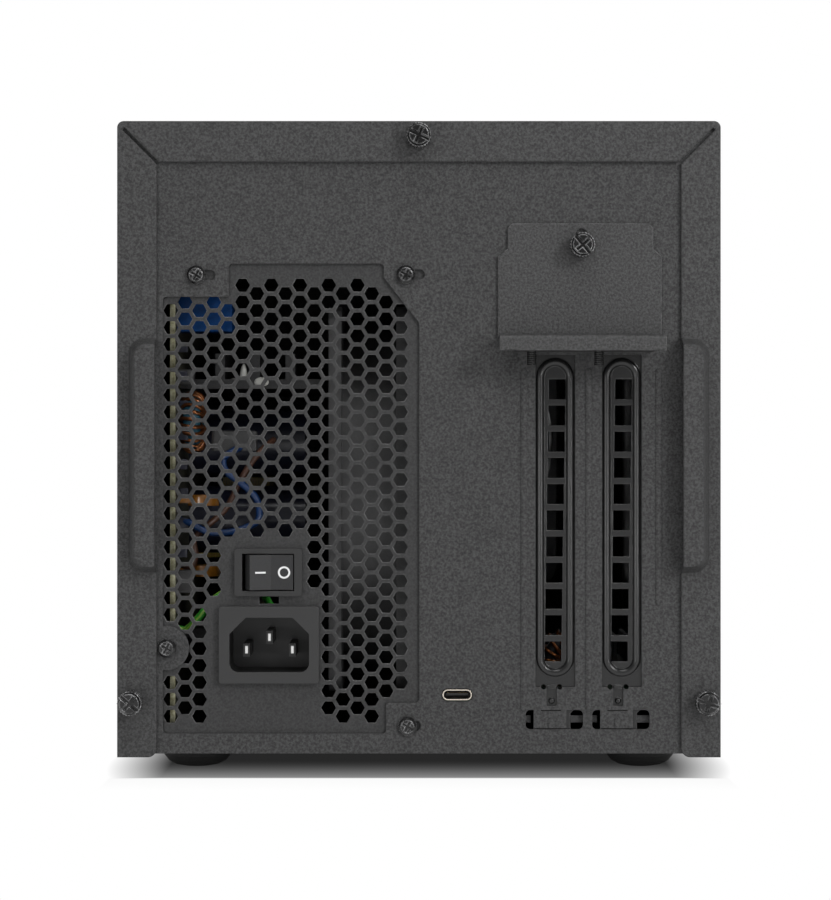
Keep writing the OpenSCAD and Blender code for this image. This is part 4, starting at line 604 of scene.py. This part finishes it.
def once_round(count):
    """Angles of a full turn, in equal steps"""
    return 2 * np.pi * np.arange(count) / count


def tube_grid(route, radius, sides, lean):
    """Rings of points round a route: route + radius (cos u side + sin u rise), u once round, where
    side is at right angles to the route and to lean, and rise to the route and to side."""
    heading = unit(np.gradient(route, axis=0))
    side = unit(np.cross(heading, lean))
    rise = np.cross(heading, side)
    u = once_round(sides)
    spread = np.cos(u)[None, :, None] * side[:, None] + np.sin(u)[None, :, None] * rise[:, None]
    return route[:, None] + np.asarray(radius, float).reshape(-1, 1, 1) * spread


def grid_faces(rows, sides, closed=False):
    """Quads between neighbouring rings, each (row, side) joined to the next of both, wrapped round
    the sides and, for a closed sweep, from the last ring to the first"""
    r = np.arange(rows if closed else rows - 1)[:, None]
    s = np.arange(sides)[None, :]
    after, beside = (r + 1) % rows, (s + 1) % sides
    quads = np.stack([r * sides + s, after * sides + s, after * sides + beside,
                      r * sides + beside], -1)
    return quads.reshape(-1, 4)


def end_caps(rows, sides):
    """The first and the last ring as polygons"""
    return [range(sides - 1, -1, -1), range((rows - 1) * sides, rows * sides)]


def make_piece(name, points, quads, finish, caps=(), uv=None, smooth=True, replaces=(),
               body="chassis"):
    """A mesh object from arrays: its quads, its material, its cap polygons, its UV and its body"""
    mesh = bpy.data.meshes.new(name)
    faces = [tuple(q) for q in quads.tolist()] + [tuple(c) for c in caps]
    mesh.from_pydata(points.reshape(-1, 3).tolist(), [], faces)
    mesh.validate()
    mesh.polygons.foreach_set("use_smooth", [smooth and len(f) == 4 for f in faces])
    if uv is not None:
        corner = np.zeros(len(mesh.loops), np.int32)
        mesh.loops.foreach_get("vertex_index", corner)
        layer = mesh.uv_layers.new(name=TUBE_UV)
        layer.data.foreach_set("uv", uv[corner].astype(np.float32).ravel())
    made = bpy.data.objects.new(name, mesh)
    bpy.context.scene.collection.objects.link(made)
    turn_out(made)
    mesh.materials.append(finish_of(finish))
    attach(made, body)
    if replaces:
        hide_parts(*replaces)
    return made


def turn_out(made):
    """Makes every face of a closed mesh point outwards"""
    work = bmesh.new()
    work.from_mesh(made.data)
    bmesh.ops.recalc_face_normals(work, faces=work.faces)
    work.to_mesh(made.data)
    work.free()


def make_tube(name, route, radius, sides, finish, lean=(0.3, 0.2, 1.0), replaces=()):
    """A tube with flat ends along a route. Its UV goes from 0 to 1 and back once round, and by the
    length over the tube's girth along it."""
    grid = tube_grid(route, radius, sides, np.array(lean, float))
    rows = len(route)
    run = np.concatenate([[0], np.cumsum(np.linalg.norm(np.diff(route, axis=0), axis=1))])
    girth = float(np.max(radius)) * 2 * np.pi
    u = np.abs(2 * np.arange(sides) / sides - 1)
    uv = np.stack(np.broadcast_arrays(u[None, :], (run / girth)[:, None]), -1).reshape(-1, 2)
    return make_piece(name, grid, grid_faces(rows, sides), finish, end_caps(rows, sides), uv,
                      replaces=replaces)


def turned(points, axis):
    """Points with their Z axis laid along the named axis"""
    order = {"X": [2, 0, 1], "Y": [1, 2, 0], "Z": [0, 1, 2]}[axis]
    return points[..., order]


def wound_ring(centre, axis, ring, thick, wire, turns, gap=0.35):
    """Route of wire wound round a ring core. v runs from gap to 2 pi - gap, w is v times 2 pi turns
    over v's run, and t is thick less the wire's radius: the point is ((ring + t cos w) cos v,
    (ring + t cos w) sin v, t sin w), turned to the axis."""
    v = np.linspace(gap, 2 * np.pi - gap, turns * TURN_STEPS)
    w = v * turns * 2 * np.pi / (2 * np.pi - 2 * gap)
    out = ring + (thick - wire) * np.cos(w)
    route = np.stack([out * np.cos(v), out * np.sin(v), (thick - wire) * np.sin(w)], -1)
    return turned(route, axis) + centre


def ring_core(centre, axis, ring, thick, flat):
    """Ring of rounded square section: with a once round the ring and b once round the section, the
    section is thick (cos b, sin b) to the power flat with its sign, which squares the circle."""
    a, b = once_round(CORE_RINGS), once_round(CORE_SIDES)
    out = thick * np.sign(np.cos(b)) * np.abs(np.cos(b)) ** flat
    up = thick * np.sign(np.sin(b)) * np.abs(np.sin(b)) ** flat
    far = ring + out[None, :]
    grid = np.stack([far * np.cos(a)[:, None], far * np.sin(a)[:, None],
                     np.broadcast_to(up[None, :], (CORE_RINGS, CORE_SIDES))], -1)
    return turned(grid, axis) + centre


def make_coil(name, centre, axis, ring, thick, turns, lean, finish, replaces):
    """A painted or moulded ring core with enamelled wire wound round it"""
    wire, squared = sizes().winding_wire, 0.6
    route = wound_ring(centre, axis, ring, thick, wire, turns)
    make_tube(name + "_winding", route, wire, WIRE_SIDES, "copper", lean=lean,
              replaces=replaces)
    grid = ring_core(centre, axis, ring, thick - 2 * wire, squared)
    make_piece(name + "_core", grid, grid_faces(CORE_RINGS, CORE_SIDES, True), finish)


def make_bead(name, centre, radii, droop):
    """Egg-like drop of glue: with p from pole to pi - pole and q once round, the point is radii
    times (w cos q, w sin q, cos p), where w is sin p (1 - droop cos p), which widens its foot."""
    pole = 0.12
    p = np.linspace(pole, np.pi - pole, BEAD_RINGS)[:, None]
    q = once_round(BEAD_SIDES)[None, :]
    wide = np.sin(p) * (1 - droop * np.cos(p))
    grid = np.stack([wide * np.cos(q), wide * np.sin(q), np.cos(p) + 0 * q], -1)
    make_piece(name, grid * (np.array(radii) * MM) + np.array(centre) * MM,
               grid_faces(BEAD_RINGS, BEAD_SIDES), "glue",
               end_caps(BEAD_RINGS, BEAD_SIDES))


def many_blocks(centres, halves, bevel=0.12):
    """Small chamfered blocks: for each centre, three rings of eight points, at the foot, the
    shoulder and the drawn-in top, their corners cut by the bevel's share. Gives points, quads and
    the polygons of feet and tops."""
    around, block = 8, 3 * 8
    cut = 1 - bevel
    flat = np.array([[1, -cut], [1, cut], [cut, 1], [-cut, 1],
                     [-1, cut], [-1, -cut], [-cut, -1], [cut, -1]])
    rings = np.stack([np.column_stack([flat * share, np.full(around, level)])
                      for share, level in ((1, -1.0), (1, cut), (cut, 1.0))])
    centres, halves = np.asarray(centres, float) * MM, np.asarray(halves, float) * MM
    grid = centres[:, None, None] + halves[:, None, None] * rings[None]
    firsts = block * np.arange(len(centres))
    quads = (grid_faces(3, around)[None] + firsts[:, None, None]).reshape(-1, 4)
    foot, top = np.arange(around)[::-1], block - around + np.arange(around)
    return grid, quads, [list(k + end) for end in (foot, top) for k in firsts]


def make_blocks(name, centres, halves, finish, bevel=0.12):
    """One piece of many small blocks"""
    grid, quads, caps = many_blocks(centres, halves, bevel)
    make_piece(name, grid, quads, finish, caps, smooth=False)


# Pieces


class CHASSIS_OT_finishes(bpy.types.Operator):
    """Make the materials and give each carried-over node its own"""

    bl_idname = "chassis.finishes"
    bl_label = "Finishes"

    def execute(self, context):
        EFFECTS.update(grain=grain_effect(), edges=edge_effect(), film=film_effect(),
                       brushed=brushed_effect())
        FINISHES.update(make_finishes())
        for name, nodes in NODE_FINISH.items():
            for node in nodes:
                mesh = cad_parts[node].data
                mesh.materials.clear()
                mesh.materials.append(finish_of(name))
        return {"FINISHED"}


class CHASSIS_OT_choke(bpy.types.Operator):
    """Wind the supply's choke: enamelled wire round a painted ring"""

    bl_idname = "chassis.choke"
    bl_label = "Supply choke"

    def execute(self, context):
        low, high = (np.array(corner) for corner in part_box("psu_choke"))
        centre, thick = (low + high) / 2, (high - low)[0] / 2
        ring = (high - low)[1] / 2 - thick
        make_coil("choke", centre, "X", ring, thick, sizes().choke_turns, (1.0, 0.13, 0.07), "core",
                  ["psu_choke"])
        return {"FINISHED"}


class CHASSIS_OT_coils(bpy.types.Operator):
    """Wind the controller board's two coils"""

    bl_idname = "chassis.coils"
    bl_label = "Board coils"

    def execute(self, context):
        low, high = (np.array(corner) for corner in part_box("board_coils"))
        thick = 3.6 * MM
        ring = (high - low)[2] / 2 - thick
        for name, y in (("coil_rear", low[1] + thick), ("coil_front", high[1] - thick)):
            centre = np.array([(low[0] + high[0]) / 2, y, (low[2] + high[2]) / 2])
            make_coil(name, centre, "Y", ring, thick, sizes().coil_turns, (0.09, 1.0, 0.13),
                      "dark_plastic", ["board_coils"])
        return {"FINISHED"}


POWER_ROUTE = [(21, -3, 31.2), (21, 6, 31.2), (21, 15, 31.2), (19.5, 25, 31.5), (15, 34, 32),
               (7, 41, 33), (-3, 44, 34), (-13, 42, 35), (-21, 36, 36), (-26, 27, 37),
               (-28, 17, 38), (-28, 7, 38), (-28, -6, 38), (-28, -17.8, 38)]
EARTH_ROUTE = [(-74.8, -148, 46), (-72, -148, 46), (-68, -150, 50), (-64, -151, 55),
               (-59, -149, 58), (-54, -144, 59.5), (-50, -138, 57), (-47.5, -132.5, 53),
               (-46, -129, 49), (-45.65, -130.8, 45.2), (-45.65, -134.2, 44.45),
               (-45.65, -137.8, 44.45)]
BLUE_ROUTE = [(-74.8, -147, 80), (-71, -149, 79), (-66, -150, 76.5), (-60, -150, 76),
              (-54, -149, 77.5), (-50, -148, 80), (-50.5, -146, 86), (-55, -146, 91),
              (-60, -146, 95), (-61, -145, 99), (-57, -143, 102), (-54, -135, 103)]
BROWN_ROUTE = [(-74.8, -144, 66), (-71, -147, 65), (-69.5, -148, 69), (-70, -148, 74),
               (-66, -146, 78), (-60, -143, 84), (-55, -142, 94), (-50, -141, 101),
               (-46, -134, 105)]


class CHASSIS_OT_wires(bpy.types.Operator):
    """Lay the sleeved power cable, the earth wire and the supply's own wires"""

    bl_idname = "chassis.wires"
    bl_label = "Wires"

    def execute(self, context):
        make_tube("power_sleeve", smooth_route(POWER_ROUTE, 8), 4.4 * MM, 24, "sleeve",
                  replaces=["power_cable"])
        make_tube("earth_lead", smooth_route(EARTH_ROUTE, 8), 1.2 * MM, 12, "earth",
                  replaces=["earth_wire"])
        make_tube("blue_lead", smooth_route(BLUE_ROUTE, 6), 1.1 * MM, 12, "blue_wire")
        make_tube("brown_lead", smooth_route(BROWN_ROUTE, 6), 1.0 * MM, 12, "brown_wire")
        return {"FINISHED"}


class CHASSIS_OT_supply_parts(bpy.types.Operator):
    """Small parts that stand on the supply's board behind the grille, and drops of glue"""

    bl_idname = "chassis.supply_parts"
    bl_label = "Supply parts"

    def execute(self, context):
        make_bead("glue_drop_high", (-55.0, -141, 125.5), (1.2, 1.6, 3.4), 0.3)
        make_bead("glue_drop_low", (-58.0, -141, 123.0), (1.3, 1.5, 1.3), 0.0)
        make_bead("pad_drop", (-49.3, -142.6, 123.0), (2.4, 0.8, 1.5), 0.0)
        make_blocks("grey_connector", [(-58, -139, 104.6), (-72.3, -150, 61), (-72.3, -148, 124.5)],
                    [(7.0, 3, 3.2), (2.5, 2.0, 3.5), (2.5, 2.2, 2.2)], "fan_grey")
        spots = [(-73.3, -150 + 1.7 * (k % 3), 70 + 9.1 * k) for k in range(8)]
        make_blocks("board_resistors", spots, [(1.5, 0.8, 1.6)] * 8, "can_sleeve")
        return {"FINISHED"}


class CHASSIS_OT_board_parts(bpy.types.Operator):
    """Small parts scattered over the controller board, where none of the larger ones stands"""

    bl_idname = "chassis.board_parts"
    bl_label = "Board parts"

    def execute(self, context):
        low, high = (np.array(corner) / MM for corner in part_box("controller_board"))
        k = np.arange(72)  # places tried
        x = low[0] + 6 + (k * 29.7) % (high[0] - low[0] - 12)
        y = low[1] + 16 + (k * 17.3) % (high[1] - low[1] - 30)
        # Off the card connector, the capacitors and the power socket, the coils and the heat sink
        keep = (np.abs(x - 33) > 7) | (y < -118)
        keep &= ((x > 30) | (y < -108)) & ((x < 40) | (y > -122))
        keep &= (x < 42) | (y < -80) | (y > -38)
        keep &= np.abs(x - 47.6) > 10.8
        x, y = x[keep], y[keep]
        long, wide, tall = 1.0, 0.55, np.full(len(x), 0.35)
        odd = np.arange(len(x)) % 2
        halves = np.stack([np.where(odd, long, wide), np.where(odd, wide, long), tall], -1)
        make_blocks("board_small_parts", np.stack([x, y, high[2] + tall], -1), halves, "tan")
        return {"FINISHED"}


class CHASSIS_OT_contacts(bpy.types.Operator):
    """Gold contacts along the card connector and on the data port's tongue"""

    bl_idname = "chassis.contacts"
    bl_label = "Contacts"

    def execute(self, context):
        low, high = (np.array(corner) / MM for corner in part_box("pcie_slot"))
        middle = (low[0] + high[0]) / 2
        y = low[1] + 3.2 + np.arange(82)  # 82 places, 1 mm apart, less those at the key
        y = y[(y < low[1] + 14) | (y > low[1] + 16.5)]
        aside, z = 0.62, high[2] - 4.4
        centres = [(middle + side * aside, place, z) for side in (-1, 1) for place in y]
        make_blocks("connector_contacts", centres, [(0.2, 0.28, 3.0)] * len(centres), "gold",
                    0.3)
        low, high = (np.array(corner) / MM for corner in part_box("usb_c_tongue"))
        middle, top = (low[0] + high[0]) / 2, (low[2] + high[2]) / 2 + 0.35
        pitch = 0.5
        centres = [(middle + (k - 5.5) * pitch, low[1] + 1.6, top) for k in range(12)]
        make_blocks("port_contacts", centres, [(0.15, 1.3, 0.04)] * 12, "gold", 0.2)
        return {"FINISHED"}


class CHASSIS_OT_rocker_marks(bpy.types.Operator):
    """Print the off ring and the on bar on the rocker's two faces: each mark is drawn flat, then
    its length laid along the face and its thickness along the face's outward direction"""

    bl_idname = "chassis.rocker_marks"
    bl_label = "Rocker marks"

    def execute(self, context):
        rise = sizes().mark_rise
        pivot = np.array([-46.0, -158.0, 64.31]) * MM
        tilt = math.radians(22)
        u = once_round(MARK_RINGS)
        reach = np.array([1.31, 1.31, 1.88, 1.88])[None, :] * MM
        lift = np.array([-0.5, 1.0, 1.0, -0.5])[None, :] * rise + np.zeros((MARK_RINGS, 1))
        ring = np.stack([reach * np.cos(u)[:, None], lift, reach * np.sin(u)[:, None]], -1)
        bar, quads, caps = many_blocks([(0, 0, 0)], [(1.68, 0.27, 0.5)], 0.05)
        bar = bar[..., [0, 2, 1]] * np.array([1, 2 * rise / MM, 1])
        for name, grid, centre, angle, faces, ends in (
            ("off_ring", ring, (4.84, -4.2, 0), 0.0, grid_faces(MARK_RINGS, MARK_SIDES, True), ()),
            ("on_bar", bar, (-2.3, -5.459, 0), tilt, quads, caps),
        ):
            along = np.array([math.cos(angle), math.sin(angle), 0])
            out = np.array([math.sin(angle), -math.cos(angle), 0])
            placed = (pivot + np.array(centre) * MM + grid[..., :1] * along + grid[..., 1:2] * out
                      + grid[..., 2:] * np.array([0, 0, 1]))
            make_piece(name, placed, faces, "printed", ends, smooth=False,
                       body="rocker")
        return {"FINISHED"}


LAMPS = (  # name, place, the setting with its power, size
    ("upper_lamp", (0.95, -1.25, 0.78), "key_power", 0.42),
    ("top_lamp", (0.0, -0.75, 1.2), "top_power", 0.6),
    ("lower_lamp", (-0.62, -1.15, 0.0), "low_power", 0.22),
    ("lower_lamp", (0.62, -1.15, 0.0), "low_power", 0.22),
)


class CHASSIS_OT_studio(bpy.types.Operator):
    """Stand the part on a white floor in a white room, among soft lamps, before a camera where the
    photograph's stood"""

    bl_idname = "chassis.studio"
    bl_label = "Studio"

    def execute(self, context):
        studio = context.scene.chassis_studio
        self.make_floor()
        self.make_world(studio.room_light)
        for name, place, power, size in LAMPS:
            self.make_lamp(name, place, getattr(studio, power), size)
        lens = bpy.data.cameras.new("rear_camera")
        lens.sensor_width = SENSOR
        lens.lens = SENSOR * studio.distance / PHOTO_HEIGHT
        lens.clip_start, lens.clip_end = 0.01, 50
        camera = bpy.data.objects.new("rear_camera", lens)
        camera.location = (PHOTO_MIDDLE[0], REAR_FACE - studio.distance, PHOTO_MIDDLE[1])
        camera.rotation_euler = (math.pi / 2, 0, 0)
        context.scene.collection.objects.link(camera)
        context.scene.camera = camera
        context.scene.view_settings.view_transform = "Standard"
        return {"FINISHED"}

    def seen(self, sh, in_gloss):
        """1 for rays that show the studio itself: the camera's, those through glass, and, where
        asked, those off gloss"""
        path = sh.add("LightPath").outputs
        seen = sh.math("MAXIMUM", path["Is Camera Ray"], path["Is Transmission Ray"])
        return sh.math("MAXIMUM", seen, path["Is Glossy Ray"]) if in_gloss else seen

    def make_floor(self):
        """A square floor. What is seen of it is its own light, with the part's shadow painted into
        it: under the part the light is 0.02, plus 0.24 times the square of how far |y| has come from
        108 to 150 mm, plus how far |x| has come from 80 to 101 mm, to the power 1.2; from 150 mm of
        |y| on it is 0.95 and rises to 1 over 28 mm."""
        mesh = bpy.data.meshes.new("floor")
        low, high = -FLOOR_HALF, FLOOR_HALF
        corners = [(low, low, 0), (high, low, 0), (high, high, 0), (low, high, 0)]
        mesh.from_pydata(corners, [], [(0, 1, 2, 3)])
        floor = bpy.data.objects.new("floor", mesh)
        bpy.context.scene.collection.objects.link(floor)
        made = bpy.data.materials.new("white_floor")
        sh = shading_of(made)
        at = sh.axes()
        aside, ahead = sh.math("ABSOLUTE", at["X"]), sh.math("ABSOLUTE", at["Y"])
        # Painted shadow of the part on the floor: darkest under it, lighter towards its edges
        darkest, foot_light, edge, open_from, open_to = 0.02, 0.24, 0.150, 0.95, 1.0
        under = sh.times(sh.math("POWER", sh.ramp(ahead, 0.108, edge), 2.0), foot_light)
        beside = sh.math("POWER", sh.ramp(aside, 0.080, 0.101), 1.2)
        shade = sh.plus(sh.plus(under, beside), darkest)
        open_floor = sh.times(sh.ramp(ahead, edge - 0.001, edge + 0.002),
                              sh.ramp(ahead, edge, edge + 0.028, open_from, open_to))
        floor_light_and_shadow = sh.math("MAXIMUM", shade, open_floor, clamp=True)
        light = sh.add("Emission", {"Color": WHITE, "Strength": floor_light_and_shadow})
        matt = sh.add("BsdfDiffuse", {"Color": rgba(WHITE, 0.82)})
        both = sh.add("MixShader", {0: self.seen(sh, in_gloss=True), 1: matt.outputs[0],
                                    2: light.outputs[0]})
        sh.feed(sh.add("OutputMaterial").inputs["Surface"], both.outputs[0])
        mesh.materials.append(made)

    def make_world(self, strength):
        """Even light of the strength given, which the camera and glass see as plain white"""
        world = bpy.data.worlds.new("white_room")
        sh = shading_of(world)
        lit = sh.add("Background", {"Color": WHITE, "Strength": strength})
        shown = sh.add("Background", {"Color": WHITE, "Strength": 1.0})
        both = sh.add("MixShader", {0: self.seen(sh, in_gloss=False), 1: lit.outputs[0],
                                    2: shown.outputs[0]})
        sh.feed(sh.add("OutputWorld").inputs["Surface"], both.outputs[0])
        bpy.context.scene.world = world

    def make_lamp(self, name, place, power, size):
        lamp = bpy.data.lights.new(name, "AREA")
        lamp.energy, lamp.size = power, size
        made = bpy.data.objects.new(name, lamp)
        made.location = place
        toward = Vector(LAMP_TARGET) - Vector(place)
        made.rotation_euler = toward.to_track_quat("-Z", "Y").to_euler()
        bpy.context.scene.collection.objects.link(made)


class CHASSIS_PT_panel(bpy.types.Panel):
    """Sizes, colours and steps of the dressed chassis"""

    bl_idname = "CHASSIS_PT_panel"
    bl_label = "Expansion chassis"
    bl_space_type = "VIEW_3D"
    bl_region_type = "UI"
    bl_category = "Chassis"

    def draw(self, context):
        for name in GROUPS:
            group = getattr(context.scene, name)
            for key in group.bl_rna.properties.keys():
                if key not in ("rna_type", "name"):
                    self.layout.prop(group, key)
        for step in STEPS:
            self.layout.operator(step.bl_idname)


GROUPS = {"chassis_colours": ChassisColours, "chassis_sizes": ChassisSizes,
          "chassis_studio": ChassisStudio}
STEPS = (CHASSIS_OT_studio, CHASSIS_OT_finishes, CHASSIS_OT_choke, CHASSIS_OT_coils,
         CHASSIS_OT_wires, CHASSIS_OT_supply_parts, CHASSIS_OT_board_parts, CHASSIS_OT_contacts,
         CHASSIS_OT_rocker_marks)


def register():
    for kind in (*GROUPS.values(), *STEPS, CHASSIS_PT_panel):
        bpy.utils.register_class(kind)
    for name, kind in GROUPS.items():
        setattr(bpy.types.Scene, name, bpy.props.PointerProperty(type=kind))


def unregister():
    for name in GROUPS:
        delattr(bpy.types.Scene, name)
    for kind in (CHASSIS_PT_panel, *reversed(STEPS), *GROUPS.values()):
        bpy.utils.unregister_class(kind)


def main():
    register()
    for step in STEPS:
        group, name = step.bl_idname.split(".")
        getattr(getattr(bpy.ops, group), name)()


if __name__ == "__main__":
    main()
